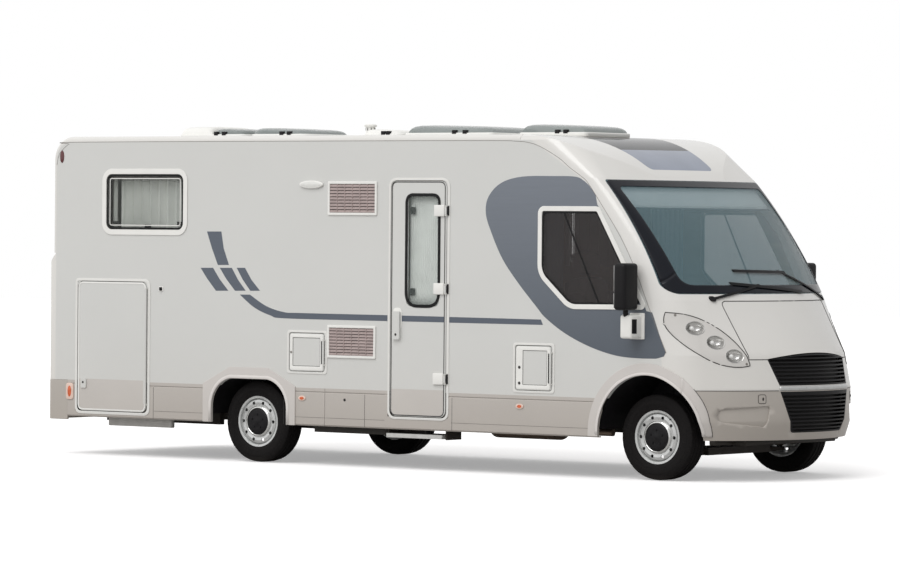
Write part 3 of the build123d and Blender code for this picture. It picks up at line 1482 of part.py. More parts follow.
for axle_name, axle_x, track in (("front", front_axle_x, front_track), ("rear", rear_axle_x, rear_track)):
    for side, name in sides:
        axis = Axis((axle_x, 0, tyre_radius), (0, 1, 0))
        centre_y = track / 2
        with BuildPart() as rim:
            add(wheel_section(side, axle_x, centre_y, rim_section))
            revolve(axis=axis)
            with BuildSketch(slab(side, centre_y + rim_half, rim_half - hub_offset + 10)):
                with Locations((axle_x, tyre_radius)):
                    with PolarLocations(hand_hole_circle, hand_hole_count):
                        Circle(hand_hole_radius)
            extrude(amount=rim_half - hub_offset + 10, mode=Mode.SUBTRACT)
            add(wheel_section(side, axle_x, centre_y, cap_section))
            revolve(axis=axis)
        rim.part.label = f"rim_{axle_name}_{name}"
        export_step(rim.part, f"parts/rim_{axle_name}_{name}.step")
        with BuildPart() as tyre:
            add(wheel_section(side, axle_x, centre_y, tyre_section))
            revolve(axis=axis)
        tyre.part.label = f"tyre_{axle_name}_{name}"
        export_step(tyre.part, f"parts/tyre_{axle_name}_{name}.step")

# Mirrors: a bracket out from the wall below the cab window with the head above it
with BuildPart() as mirrors:
    with BuildSketch(Plane.XY.offset(mirror_bracket_z)):
        with BuildLine():
            Polyline((mirror_x - 60, half_width), (mirror_x + 70, half_width),
                     (mirror_x + 10, half_width + mirror_reach),
                     (mirror_x - 70, half_width + mirror_reach), close=True)
        make_face()
    extrude(amount=mirror_bracket_height)
    with BuildSketch(Plane.XY.offset(mirror_bracket_z + mirror_bracket_height)):
        with Locations((mirror_x - 30, half_width + mirror_reach - 40)):
            Circle(24)
    extrude(amount=mirror_neck)
    with BuildSketch(Plane.XY.offset(mirror_head_z)):
        with Locations((mirror_x - 30, half_width + mirror_head_y)):
            RectangleRounded(mirror_head_depth, mirror_head_width, 40)
    extrude(amount=mirror_head_height)
    mirror(about=Plane.XZ)
mirrors.part.label = "mirrors"
export_step(mirrors.part, "parts/mirrors.step")

# Wipers: arms and blades that follow the windscreen
blade_under = nose_solid(-glass_clearance, inner_back_x)
blade_over = nose_solid(-wiper_thickness, nose_join_x)
with BuildPart() as wipers:
    add(blade_over)
    add(blade_under, mode=Mode.SUBTRACT)
    with BuildSketch(view_plane):
        for pivot, elbow, blade_start, blade_end in wiper_rows:
            with BuildLine():
                Polyline(pivot, elbow)
            trace(line_width=wiper_arm_width)
            with BuildLine():
                Line(blade_start, blade_end)
            trace(line_width=wiper_blade_width)
            with Locations(pivot):
                Circle(wiper_boss_radius)
    extrude(amount=through, mode=Mode.INTERSECT)
wipers.part.label = "wipers"
export_step(wipers.part, "parts/wipers.step")

# Entry step, slid in under the door
with BuildPart() as entry_step:
    with BuildSketch(Plane.XY.offset(step_z)):
        add(box_sketch(step_rear_x, step_front_x, -half_width + step_inset, -half_width + step_inset + step_depth, 16))
    extrude(amount=step_thickness)
entry_step.part.label = "entry_step"
export_step(entry_step.part, "parts/entry_step.step")

# Cab: two seats on pedestals, the dashboard with its bulkhead, and the steering wheel
with BuildPart() as cab_seats:
    for side, name in sides:
        with BuildSketch(Plane.XY.offset(floor_top_z)):
            with Locations((seat_x + 240, side * seat_y)):
                Rectangle(320, 320)
        extrude(amount=seat_pedestal)
        with BuildSketch(Plane.XZ.offset(-side * seat_y - seat_width / 2)):
            with BuildLine():
                Polyline(*[(seat_x + dx, floor_top_z + seat_pedestal + dz) for dx, dz in seat_profile],
                         close=True)
            make_face()
        extrude(amount=seat_width)
        with BuildSketch(Plane.XZ.offset(-side * seat_y - headrest_width / 2)):
            with Locations((seat_x - headrest_back, floor_top_z + seat_pedestal + headrest_z)):
                RectangleRounded(headrest_depth, headrest_height, 30)
        extrude(amount=headrest_width)
cab_seats.part.label = "cab_seats"
export_step(cab_seats.part, "parts/cab_seats.step")

with BuildPart() as dashboard:
    with BuildSketch(Plane.XZ.offset(-half_width)):
        with BuildLine():
            Polyline((floor_front_x, floor_top_z), (floor_front_x + bulkhead, floor_top_z),
                     (floor_front_x + bulkhead, dash_top_z - 40), (dash_front_x, dash_top_z),
                     (dash_front_x, dash_top_z + 16), (floor_front_x, dash_top_z + 16),
                     (dash_rear_x + 140, dash_top_z), (dash_rear_x, dash_top_z - 110),
                     (dash_rear_x + 40, dash_low_z), (floor_front_x, dash_low_z), close=True)
        make_face()
    extrude(amount=width)
    add(nose_inner, mode=Mode.INTERSECT)
    for side, name in sides:
        with BuildSketch(slab(side, half_width, half_width - arch_inner_y + liner)):
            add(front_arch_outline(liner))
        extrude(amount=half_width - arch_inner_y + liner, mode=Mode.SUBTRACT)
    # The column reaches from the dashboard to the steering wheel's hub
    with BuildSketch(Plane(origin=wheel_hub, x_dir=(0, 1, 0), z_dir=wheel_axis)):
        Circle(column_radius)
    extrude(amount=column_length)
dashboard.part.label = "dashboard"
export_step(dashboard.part, "parts/dashboard.step")

with BuildPart() as steering_wheel:
    with BuildSketch(Plane(origin=wheel_hub, x_dir=(0, 1, 0), z_dir=wheel_axis).rotated((90, 0, 0))):
        with Locations((steering_radius, 0)):
            Circle(steering_tube)
    revolve(axis=Axis(wheel_hub, wheel_axis))
    with BuildSketch(Plane(origin=wheel_hub, x_dir=(0, 1, 0), z_dir=wheel_axis).offset(-hub_boss)):
        Circle(58)
    extrude(amount=hub_boss - pin_gap / 2)
    with BuildSketch(Plane(origin=wheel_hub, x_dir=(0, 1, 0), z_dir=wheel_axis).offset(-14)):
        with PolarLocations(steering_radius / 2, 3, start_angle=-90):
            Rectangle(steering_radius, 34)
    extrude(amount=10)
steering_wheel.part.label = "steering_wheel"
export_step(steering_wheel.part, "parts/steering_wheel.step")
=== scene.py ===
# The looks of an integrated motorhome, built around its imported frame.
# Metres. +X points ahead, +Y to the vehicle's left, +Z up, and Z = 0 is the ground.
import math

import bmesh
import bpy
from mathutils import Matrix, Vector
from mathutils.bvhtree import BVHTree


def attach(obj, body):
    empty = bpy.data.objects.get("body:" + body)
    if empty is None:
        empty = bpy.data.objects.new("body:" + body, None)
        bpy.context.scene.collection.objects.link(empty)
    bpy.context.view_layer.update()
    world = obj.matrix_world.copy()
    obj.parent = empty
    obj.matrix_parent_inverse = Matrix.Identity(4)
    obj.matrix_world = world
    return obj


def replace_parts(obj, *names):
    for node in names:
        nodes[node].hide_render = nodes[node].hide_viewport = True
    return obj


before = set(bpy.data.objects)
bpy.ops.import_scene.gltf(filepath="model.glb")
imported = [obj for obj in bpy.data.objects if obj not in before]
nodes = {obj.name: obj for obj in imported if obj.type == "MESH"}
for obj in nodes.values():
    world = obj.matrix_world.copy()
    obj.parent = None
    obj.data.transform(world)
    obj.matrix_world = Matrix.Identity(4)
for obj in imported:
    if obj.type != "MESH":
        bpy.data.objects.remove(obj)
scene = bpy.context.scene
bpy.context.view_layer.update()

# Places shared with the frame
WALL_Y = 1.150
FRONT_AXLE_X = 2.700
REAR_AXLE_X = -1.360
WHEEL_Z = 0.343
BODY = "body"
SIDES = ((-1, "right"), (1, "left"))

# The camera as fitted to the view, with its angles in radians
LENS_MM = 192.0
CAMERA_AT = (24.36338, -32.33564, 2.01415)
YAW, PITCH, ROLL = 0.64806, -0.01169, 0.00853


def add_camera():
    data = bpy.data.cameras.new("camera")
    data.sensor_width = 36.0
    data.lens = LENS_MM
    data.clip_end = 300.0
    cam = bpy.data.objects.new("camera", data)
    scene.collection.objects.link(cam)
    forward = Vector((-math.sin(YAW) * math.cos(PITCH), math.cos(YAW) * math.cos(PITCH), math.sin(PITCH)))
    level = Vector((math.cos(YAW), math.sin(YAW), 0.0))
    upward = level.cross(forward)
    right = level * math.cos(ROLL) + upward * math.sin(ROLL)
    up = upward * math.cos(ROLL) - level * math.sin(ROLL)
    rotation = Matrix((right, up, -forward)).transposed()
    cam.matrix_world = Matrix.Translation(CAMERA_AT) @ rotation.to_4x4()
    scene.camera = cam


add_camera()


# Materials
def srgb(rgb):
    parts = (value / 255.0 for value in rgb)
    return tuple(p / 12.92 if p <= 0.04045 else ((p + 0.055) / 1.055) ** 2.4 for p in parts) + (1.0,)


def shade(colour, factor):
    return tuple(min(1.0, c * factor) for c in colour[:3]) + (1.0,)


def node(tree, kind, inputs, **settings):
    """A shader node with these settings. An input given as a socket is linked, any other is set."""
    made = tree.nodes.new("ShaderNode" + kind)
    for name, value in settings.items():
        setattr(made, name, value)
    for name, value in inputs.items():
        feed(tree, made, name, value)
    return made


def feed(tree, taker, name, value):
    if isinstance(value, bpy.types.NodeSocket):
        tree.links.new(value, taker.inputs[name])
    else:
        taker.inputs[name].default_value = value


def material(name, rgb, rough=0.45, metal=0.0, spread=0.04, grain=5.0, rough_spread=0.08, bump=0.0,
             bump_grain=120.0, coat=0.0, alpha=None, dirt_and_ground_shade=None, low=None, stretch=None, shine=0.5):
    """A painted, moulded or cast surface: its colour and gloss wander a little, and it may change colour
    towards the ground (dirt_and_ground_shade: painted shade low down on the body's paints, real dirt, dust
    and rust on the underbody parts and tyres) or carry a second colour lower down (low)."""
    colour = srgb(rgb)
    mat = bpy.data.materials.new(name)
    mat.use_nodes = True
    tree = mat.node_tree
    place = node(tree, "TexCoord", {}).outputs["Object"]
    source = place
    if stretch:
        source = node(tree, "Mapping", {"Vector": place, "Scale": stretch}).outputs["Vector"]
    noise = node(tree, "TexNoise", {"Vector": source, "Scale": grain, "Detail": 6.0}).outputs["Fac"]
    ramp = node(tree, "ValToRGB", {"Fac": noise})
    for stop, position, factor in zip(ramp.color_ramp.elements, (0.3, 0.7), (1.0 - spread, 1.0 + spread)):
        stop.position = position
        stop.color = shade(colour, factor)
    result = ramp.outputs["Color"]
    if low or dirt_and_ground_shade:
        height = node(tree, "SeparateXYZ", {"Vector": place}).outputs["Z"]
    for change in (low, dirt_and_ground_shade):
        if change:
            low_z, high_z, low_rgb, strength = change
            fade = node(tree, "MapRange", {"From Min": low_z, "From Max": high_z, "To Min": strength,
                                           "To Max": 0.0, "Value": height})
            result = node(tree, "Mix", {"Factor": fade.outputs["Result"], "A": result, "B": srgb(low_rgb)},
                          data_type="RGBA").outputs["Result"]
    gloss = node(tree, "MapRange", {"To Min": max(0.02, rough - rough_spread),
                                    "To Max": min(1.0, rough + rough_spread), "Value": noise})
    shown = {"Metallic": metal, "Specular IOR Level": shine, "Base Color": result,
             "Roughness": gloss.outputs["Result"]}
    if coat:
        shown.update({"Coat Weight": coat, "Coat Roughness": 0.08})
    if alpha is not None:
        shown["Alpha"] = alpha
    if bump:
        fine = node(tree, "TexNoise", {"Vector": source, "Scale": bump_grain, "Detail": 4.0})
        relief = node(tree, "Bump", {"Strength": bump, "Distance": 0.002, "Height": fine.outputs["Fac"]})
        shown["Normal"] = relief.outputs["Normal"]
    for socket, value in shown.items():
        feed(tree, tree.nodes["Principled BSDF"], socket, value)
    return mat


# On the body's paints below, dirt_and_ground_shade is painted shade: they darken towards the ground, where
# less light reaches them.
PANEL = material("side_panel_paint", (207, 207, 204), 0.34, spread=0.012, grain=1.2, coat=0.25,
                 dirt_and_ground_shade=(0.4, 1.1, (196, 192, 186), 0.22))
REAR_PANEL = material("rear_panel_paint", (207, 207, 204), 0.36, spread=0.015, grain=1.5, coat=0.2,
                      dirt_and_ground_shade=(0.4, 1.4, (190, 186, 180), 0.3))
ROOF = material("roof_sheet", (214, 214, 212), 0.4, spread=0.03, grain=2.5, bump=0.05, bump_grain=40.0)
GELCOAT = material("nose_gelcoat", (220, 218, 214), 0.24, spread=0.012, grain=1.8, coat=0.5,
                   dirt_and_ground_shade=(0.4, 1.2, (200, 194, 186), 0.3))
RAIL = material("rail_gelcoat", (216, 214, 210), 0.3, spread=0.015, grain=2.0, coat=0.35)
FIELD = material("door_field_grey", (196, 191, 186), 0.38, spread=0.02, grain=2.2, coat=0.2,
                 dirt_and_ground_shade=(0.35, 0.7, (180, 174, 166), 0.4))
FRAME_EDGE = material("frame_plastic", (222, 221, 217), 0.42, spread=0.02, grain=9.0, bump=0.04)
FLARE = material("flare_grey", (204, 199, 195), 0.34, spread=0.02, grain=2.2, coat=0.25,
                 dirt_and_ground_shade=(0.3, 0.8, (184, 178, 171), 0.4))
# The arch lips take the flares' grey made lighter: a painted highlight along the raised lips.
ARCH_LIP_HIGHLIGHT = material("arch_lip_painted_highlight", (214, 209, 205), 0.34, spread=0.02, grain=3.0, coat=0.25)
SKIRT = material("skirt_grey", (186, 180, 174), 0.38, spread=0.02, grain=2.2, coat=0.2,
                 dirt_and_ground_shade=(0.3, 0.7, (160, 152, 143), 0.45))
BUMPER = material("bumper_grey", (178, 172, 165), 0.34, spread=0.02, grain=2.4, coat=0.3,
                  dirt_and_ground_shade=(0.3, 0.75, (164, 155, 145), 0.4))
TRIM = material("white_plastic", (232, 231, 227), 0.42, spread=0.02, grain=9.0, bump=0.04)
# Real grey on screws, locks, mirror ribs and blind cases; on the wall seam and in the skirts' grooves it is
# painted shade.
GREY_TRIM_AND_GROOVE_SHADE = material("grey_trim_and_groove_shadow", (128, 123, 118), 0.6, spread=0.06, grain=9.0)
SEAM = material("seam_black", (46, 44, 43), 0.6, spread=0.1, grain=12.0)
BLACK = material("black_plastic", (22, 21, 23), 0.45, shine=0.2, spread=0.12, grain=16.0, bump=0.25,
                 bump_grain=260.0)
GLOSS_BLACK = material("black_ceramic_band", (17, 20, 28), 0.2, spread=0.1, grain=7.0, shine=0.25)
RUBBER = material("rubber_seal", (26, 26, 27), 0.6, shine=0.2, spread=0.1, grain=20.0, bump=0.2)
STRIPE = material("stripe_film", (90, 97, 108), 0.4, shine=0.35, spread=0.03, grain=3.0, coat=0.2,
                  low=(0.95, 2.45, (84, 91, 102), 0.6), stretch=(1.0, 1.0, 22.0))
SWOOSH = material("swoosh_film", (116, 122, 131), 0.4, shine=0.35, spread=0.025, grain=3.0, coat=0.2,
                  low=(0.95, 2.40, (84, 91, 100), 1.0), stretch=(1.0, 1.0, 26.0))
LOUVRE = material("louvre_grey", (163, 147, 144), 0.55, spread=0.12, grain=14.0, bump=0.1)
SCREEN = material("windscreen_glass", (112, 140, 148), 0.05, spread=0.05, grain=1.4, rough_spread=0.02,
                  alpha=0.36)
PANE = material("window_glass", (96, 100, 96), 0.06, spread=0.08, grain=2.5, rough_spread=0.02, alpha=0.16)
CAB_GLASS = material("cab_side_glass", (44, 38, 38), 0.05, spread=0.08, grain=2.5, rough_spread=0.02,
                     alpha=0.55)
DOOR_GLASS = material("door_glass", (150, 160, 156), 0.08, spread=0.05, grain=2.5, rough_spread=0.02,
                      alpha=0.12)
LAMP_LENS = material("lamp_lens", (222, 222, 218), 0.22, spread=0.04, grain=30.0, coat=0.4)
DARK_GLASS = material("roof_glass", (26, 28, 33), 0.07, spread=0.12, grain=3.0, rough_spread=0.02,
                      alpha=0.93)
# The roof window's front part is painted a pale blue-grey: a painted reflection of the sky on the dark
# glass.
PAINTED_SKY_REFLECTION_GLASS = material("roof_glass_painted_sky_reflection", (146, 153, 168), 0.1, spread=0.05, grain=3.0, rough_spread=0.02,
                     alpha=0.93)
DOME = material("smoked_dome", (126, 134, 132), 0.14, spread=0.08, grain=4.0, alpha=0.72, coat=0.3)
LAMP_HOUSING = material("lamp_housing", (206, 203, 199), 0.3, spread=0.02, grain=4.0, coat=0.6)
REFLECTOR = material("lamp_reflector", (206, 205, 203), 0.18, metal=0.7, spread=0.06, grain=14.0)
BULB = material("bulb_glass", (236, 236, 234), 0.08, spread=0.03, grain=20.0, coat=0.7)
RED = material("red_lens", (150, 20, 18), 0.16, spread=0.14, grain=40.0, coat=0.6, bump=0.3,
               bump_grain=180.0)
DARK_RED = material("dark_red_lens", (84, 22, 24), 0.18, spread=0.14, grain=40.0, coat=0.6)
AMBER = material("amber_lens", (206, 92, 44), 0.18, spread=0.16, grain=40.0, coat=0.5, bump=0.3,
                 bump_grain=180.0)
PALE_LENS = material("pale_lens", (222, 196, 182), 0.2, spread=0.06, grain=30.0, coat=0.5)
STEEL = material("chassis_paint", (34, 34, 35), 0.55, shine=0.25, spread=0.2, grain=9.0, bump=0.3,
                 bump_grain=70.0, dirt_and_ground_shade=(0.15, 0.6, (82, 74, 66), 0.6))
GALVANISED = material("galvanised_rail", (196, 194, 190), 0.45, metal=0.15, spread=0.1, grain=12.0,
                      bump=0.15, bump_grain=60.0)
CASTING = material("bare_casting", (84, 80, 76), 0.6, metal=0.5, spread=0.25, grain=16.0, bump=0.4,
                   bump_grain=90.0, dirt_and_ground_shade=(0.1, 0.6, (92, 66, 48), 0.45))
TANK = material("tank_plastic", (28, 28, 29), 0.5, shine=0.25, spread=0.16, grain=8.0, bump=0.2,
                bump_grain=60.0, dirt_and_ground_shade=(0.2, 0.6, (74, 68, 60), 0.5))
EXHAUST = material("exhaust_steel", (128, 120, 110), 0.42, metal=0.8, spread=0.22, grain=11.0, bump=0.2,
                   bump_grain=50.0, dirt_and_ground_shade=(0.2, 0.6, (110, 74, 50), 0.5))
RIM = material("wheel_silver", (198, 199, 198), 0.3, metal=0.55, spread=0.08, grain=22.0, coat=0.3)
CHROME = material("bright_ring", (222, 222, 220), 0.14, metal=0.95, spread=0.04, grain=18.0)
BOARDS = material("panel_boards", (168, 150, 126), 0.5, spread=0.14, grain=4.0, bump=0.2, bump_grain=30.0,
                  stretch=(1.0, 1.0, 7.0))
UNDERFLOOR = material("underfloor_board", (72, 68, 62), 0.7, spread=0.16, grain=5.0, bump=0.2,
                      bump_grain=40.0, dirt_and_ground_shade=(0.3, 0.7, (96, 86, 74), 0.5))
HINGE = material("anodised_hinge", (214, 213, 209), 0.38, metal=0.25, spread=0.06, grain=20.0)
STEP = material("ribbed_aluminium", (206, 206, 203), 0.34, metal=0.7, spread=0.08, grain=20.0, bump=0.15)
DASH = material("dashboard_plastic", (66, 68, 72), 0.5, spread=0.1, grain=9.0, bump=0.25, bump_grain=200.0)
WHEEL_GRIP = material("steering_grip", (40, 42, 46), 0.42, spread=0.12, grain=14.0, bump=0.2,
                      bump_grain=240.0)


def tread_material():
    """Rubber whose tread blocks and side ribs come from the tyre's own surface coordinates."""
    mat = material("tyre_rubber", (24, 22, 22), 0.72, shine=0.14, spread=0.16, grain=24.0,
                   dirt_and_ground_shade=(0.0, 0.05, (70, 65, 60), 0.3))
    tree = mat.node_tree
    bricks = node(tree, "TexBrick", {"Vector": node(tree, "UVMap", {}).outputs["UV"], "Scale": 1.0,
                                     "Mortar Size": 0.08, "Mortar Smooth": 0.3, "Brick Width": 1.0,
                                     "Row Height": 1.0})
    relief = node(tree, "Bump", {"Strength": 0.9, "Distance": 0.006, "Height": bricks.outputs["Fac"]},
                  invert=True)
    feed(tree, tree.nodes["Principled BSDF"], "Normal", relief.outputs["Normal"])
    return mat


def cloth_material(name, rgb):
    mat = material(name, rgb, 0.85, spread=0.07, grain=7.0, bump=0.35, bump_grain=420.0)
    feed(mat.node_tree, mat.node_tree.nodes["Principled BSDF"], "Sheen Weight", 0.25)
    return mat


TYRE = tread_material()
CURTAIN = cloth_material("curtain_cloth", (222, 226, 220))
CAB_CURTAIN = cloth_material("cab_curtain_cloth", (142, 160, 172))
BLIND = cloth_material("door_blind_cloth", (226, 230, 226))
SEAT = cloth_material("seat_cloth", (112, 106, 100))
SEAT_SIDE = cloth_material("seat_side_cloth", (78, 76, 76))


# Outlines
def turns(count):
    return [2 * math.pi * k / count for k in range(count)]


def oval(x, z, half_x, half_z, count):
    return [(x + half_x * math.cos(a), z + half_z * math.sin(a)) for a in turns(count)]


def rounded(corners, radius, steps=6):
    """The closed outline through these corners with each one rounded. radius may be a list."""
    count = len(corners)
    result = []
    for i, corner in enumerate(corners):
        here = Vector(corner)
        before = Vector(corners[i - 1]) - here
        after = Vector(corners[(i + 1) % count]) - here
        r = radius[i] if isinstance(radius, (list, tuple)) else radius
        cut = r / math.tan(before.angle(after) / 2) if r > 0 else 0.0
        if cut < 1e-6:
            result.append(tuple(here))
            continue
        cut = min(cut, before.length * 0.48, after.length * 0.48)
        start = here + before.normalized() * cut
        end = here + after.normalized() * cut
        for k in range(steps + 1):
            t = k / steps
            result.append(tuple(start.lerp(here, t).lerp(here.lerp(end, t), t)))
    return result


def box_loop(x0, x1, z0, z1, radius=0.0, steps=6):
    corners = [(x0, z0), (x1, z0), (x1, z1), (x0, z1)]
    return rounded(corners, radius, steps) if radius else corners


def margin_loop(box, left, right, low, high, radius, steps=8):
    """The outline of a box whose sides are moved ahead and up by these amounts."""
    x0, x1, z0, z1 = box
    return box_loop(x0 + left, x1 + right, z0 + low, z1 + high, radius, steps)


def grown(loop, by):
    """The outline moved outwards by a distance, for convex outlines given in either sense."""
    pts = [Vector(p) for p in loop]
    area = sum(a.x * b.y - b.x * a.y for a, b in zip(pts, pts[1:] + pts[:1]))
    sense = 1.0 if area > 0 else -1.0
    result = []
    for i, here in enumerate(pts):
        a = here - pts[i - 1]
        b = pts[(i + 1) % len(pts)] - here
        na = Vector((a.y, -a.x)).normalized() * sense
        nb = Vector((b.y, -b.x)).normalized() * sense
        result.append(tuple(here + (na + nb) * (by / max(0.3, 1.0 + na.dot(nb)))))
    return result


def smooth_line(points, per=6):
    """An open smooth curve through the given points."""
    result = []
    last = len(points) - 1
    for i in range(last):
        p0, p1, p2, p3 = (Vector(points[min(max(i + k - 1, 0), last)]) for k in range(4))
        for k in range(per):
            t = k / per
            result.append(tuple(0.5 * (2 * p1 + (p2 - p0) * t + (2 * p0 - 5 * p1 + 4 * p2 - p3) * t * t
                                       + (3 * p1 - p0 - 3 * p2 + p3) * t ** 3)))
    result.append(tuple(points[-1]))
    return result


def resample(loop, count):
    """The closed outline as evenly spaced points, starting from its first."""
    pts = [Vector(p) for p in loop]
    lengths = [(pts[(i + 1) % len(pts)] - pts[i]).length for i in range(len(pts))]
    total = sum(lengths)
    result = []
    i, used = 0, 0.0
    for k in range(count):
        goal = total * k / count
        while used + lengths[i] < goal - 1e-12:
            used += lengths[i]
            i += 1
        t = (goal - used) / lengths[i] if lengths[i] else 0.0
        result.append(tuple(pts[i].lerp(pts[(i + 1) % len(pts)], t)))
    return result


def arc_through(a, b, c, steps):
    """Points on the circle from a through b towards c, c left out."""
    turn = 2 * (a[0] * (b[1] - c[1]) + b[0] * (c[1] - a[1]) + c[0] * (a[1] - b[1]))
    aa, bb, cc = (p[0] ** 2 + p[1] ** 2 for p in (a, b, c))
    mid_u = (aa * (b[1] - c[1]) + bb * (c[1] - a[1]) + cc * (a[1] - b[1])) / turn
    mid_v = (aa * (c[0] - b[0]) + bb * (a[0] - c[0]) + cc * (b[0] - a[0])) / turn
    first, last = (math.atan2(p[1] - mid_v, p[0] - mid_u) for p in (a, c))
    sweep = (last - first) % (2 * math.pi)
    if turn < 0:
        sweep -= 2 * math.pi
    radius = math.hypot(a[0] - mid_u, a[1] - mid_v)
    return [(mid_u + radius * math.cos(first + sweep * i / steps),
             mid_v + radius * math.sin(first + sweep * i / steps)) for i in range(steps)]


def mirrored(loop, side):
    """A front-view outline given for the left (positive Y), put on that side."""
    return [(side * y, z) for y, z in loop]


# Builders of mesh pieces
def add(name, mesh, mat, body=BODY, smooth=True):
    obj = bpy.data.objects.new(name, mesh)
    scene.collection.objects.link(obj)
    mesh.materials.clear()
    mesh.materials.append(mat)
    for face in mesh.polygons:
        face.use_smooth = smooth
    if smooth:
        mesh.set_sharp_from_angle(angle=math.radians(38))
    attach(obj, body)
    return obj


def clean(mesh, weld):
    """Sets the mesh's normals alike, and makes points in one place one."""
    made = bmesh.new()
    made.from_mesh(mesh)
    if weld:
        bmesh.ops.remove_doubles(made, verts=made.verts, dist=1e-6)
    bmesh.ops.recalc_face_normals(made, faces=made.faces)
    made.to_mesh(mesh)
    made.free()


def from_lists(name, points, faces, mat, body=BODY, smooth=True, weld=True):
    mesh = bpy.data.meshes.new(name)
    mesh.from_pydata([tuple(p) for p in points], [], faces)
    clean(mesh, weld)
    return add(name, mesh, mat, body, smooth)


def lattice(rows, count, wrap=True, wrap_rows=False, base=0):
    """The faces between rows of count points each, numbered from base."""
    faces = []
    for i in range(rows if wrap_rows else rows - 1):
        here, there = base + i * count, base + (i + 1) % rows * count
        for k in range(count if wrap else count - 1):
            m = (k + 1) % count
            faces.append((here + k, here + m, there + m, there + k))
    return faces


def plate(name, loops, to_world, thick, mat, body=BODY, edge=0.0, start=0.0):
    """A flat piece with this outline and these holes, as thick as given, its edges rounded.
    to_world takes the outline's two coordinates and the height above the surface."""
    curve = bpy.data.curves.new(name, "CURVE")
    curve.dimensions = "2D"
    curve.fill_mode = "BOTH"
    half = thick / 2
    edge = min(edge, half * 0.95)
    curve.extrude = half - edge
    curve.bevel_depth = edge
    curve.bevel_resolution = 2
    curve.offset = -edge
    for loop in loops:
        line = curve.splines.new("POLY")
        line.points.add(len(loop) - 1)
        for point, (u, v) in zip(line.points, loop):
            point.co = (u, v, 0.0, 1.0)
        line.use_cyclic_u = True
    temp = bpy.data.objects.new(name + "_curve", curve)
    scene.collection.objects.link(temp)
    bpy.context.view_layer.update()
    mesh = bpy.data.meshes.new_from_object(temp.evaluated_get(bpy.context.evaluated_depsgraph_get()))
    bpy.data.objects.remove(temp)
    bpy.data.curves.remove(curve)
    mesh.name = name
    for vertex in mesh.vertices:
        u, v, w = vertex.co
        vertex.co = to_world(u, v, w + half + start)
    clean(mesh, True)
    return add(name, mesh, mat, body)


def side_map(side, y=WALL_Y):
    """Coordinates on a side wall: ahead, up, and out from the wall. side is -1 right, 1 left."""
    return lambda u, v, w: (u, side * (y + w), v)


def top_map(z):
    return lambda u, v, w: (u, v, z + w)


def tube(name, points, radius, mat, body=BODY, closed=False, sides=8):
    """A round bar along the points."""
    pts = [Vector(p) for p in points]
    count = len(pts)
    round_it = []
    normal = None
    for i, p in enumerate(pts):
        if closed:
            ahead = pts[(i + 1) % count] - pts[i - 1]
        else:
            ahead = pts[min(i + 1, count - 1)] - pts[max(i - 1, 0)]
        ahead.normalize()
        if normal is None:
            helper = Vector((0, 0, 1)) if abs(ahead.z) < 0.9 else Vector((1, 0, 0))
            normal = ahead.cross(helper).normalized()
        normal = (normal - ahead * normal.dot(ahead)).normalized()
        across = ahead.cross(normal)
        round_it += [p + (normal * math.cos(a) + across * math.sin(a)) * radius for a in turns(sides)]
    faces = lattice(count, sides, wrap_rows=closed)
    if not closed:
        faces.append(tuple(range(sides)))
        faces.append(tuple((count - 1) * sides + k for k in range(sides)))
    return from_lists(name, round_it, faces, mat, body, weld=False)


def lathe(name, profile, centre, axis, mat, body=BODY, segments=40):
    """A turned piece: profile is (radius, distance along the axis) from centre."""
    along = Vector(axis).normalized()
    helper = Vector((0, 0, 1)) if abs(along.z) < 0.9 else Vector((1, 0, 0))
    u = along.cross(helper).normalized()
    v = along.cross(u)
    centre = Vector(centre)
    pts = [centre + along * h + (u * math.cos(a) + v * math.sin(a)) * r
           for r, h in profile for a in turns(segments)]
    return from_lists(name, pts, lattice(len(profile), segments), mat, body)


def lock(name, radii, heights, place, side, mat, body=BODY):
    """A lock's round face, from its top over the rim to its foot."""
    top, rim, foot = heights
    lathe(name, [(0.0, top), (radii[0], top), (radii[1], rim), (radii[1], foot)], place, (0, side, 0), mat,
          body, 20)


def sheet_grid(name, rows, mat, body=BODY, thick=0.0):
    """A surface through a grid of points, given thickness to both sides."""
    mesh = bpy.data.meshes.new(name)
    mesh.from_pydata([tuple(p) for row in rows for p in row], [],
                     lattice(len(rows), len(rows[0]), wrap=False))
    obj = add(name, mesh, mat, body)
    if thick:
        solid = obj.modifiers.new("thickness", "SOLIDIFY")
        solid.thickness = thick
        solid.offset = 0.0
    return obj


def placed(name, made, middle, turn, mat, body):
    """Turns a bmesh about its middle, moves it to its place and adds it."""
    if turn:
        bmesh.ops.rotate(made, verts=made.verts, matrix=Matrix.Rotation(math.radians(turn[1]), 3, turn[0]))
    bmesh.ops.translate(made, verts=made.verts, vec=middle)
    mesh = bpy.data.meshes.new(name)
    made.to_mesh(mesh)
    made.free()
    return add(name, mesh, mat, body)


def block(name, low, high, mat, body=BODY, radius=0.006, segments=3, turn=None):
    """A box between two corners with rounded edges. turn is (axis letter, degrees) about its middle."""
    low, high = Vector(map(min, low, high)), Vector(map(max, low, high))
    size = high - low
    made = bmesh.new()
    bmesh.ops.create_cube(made, size=1.0)
    bmesh.ops.scale(made, vec=size, verts=made.verts)
    bmesh.ops.bevel(made, geom=list(made.edges), offset=min(radius, min(size) * 0.49), segments=segments,
                    profile=0.5, affect="EDGES")
    return placed(name, made, (low + high) / 2, turn, mat, body)


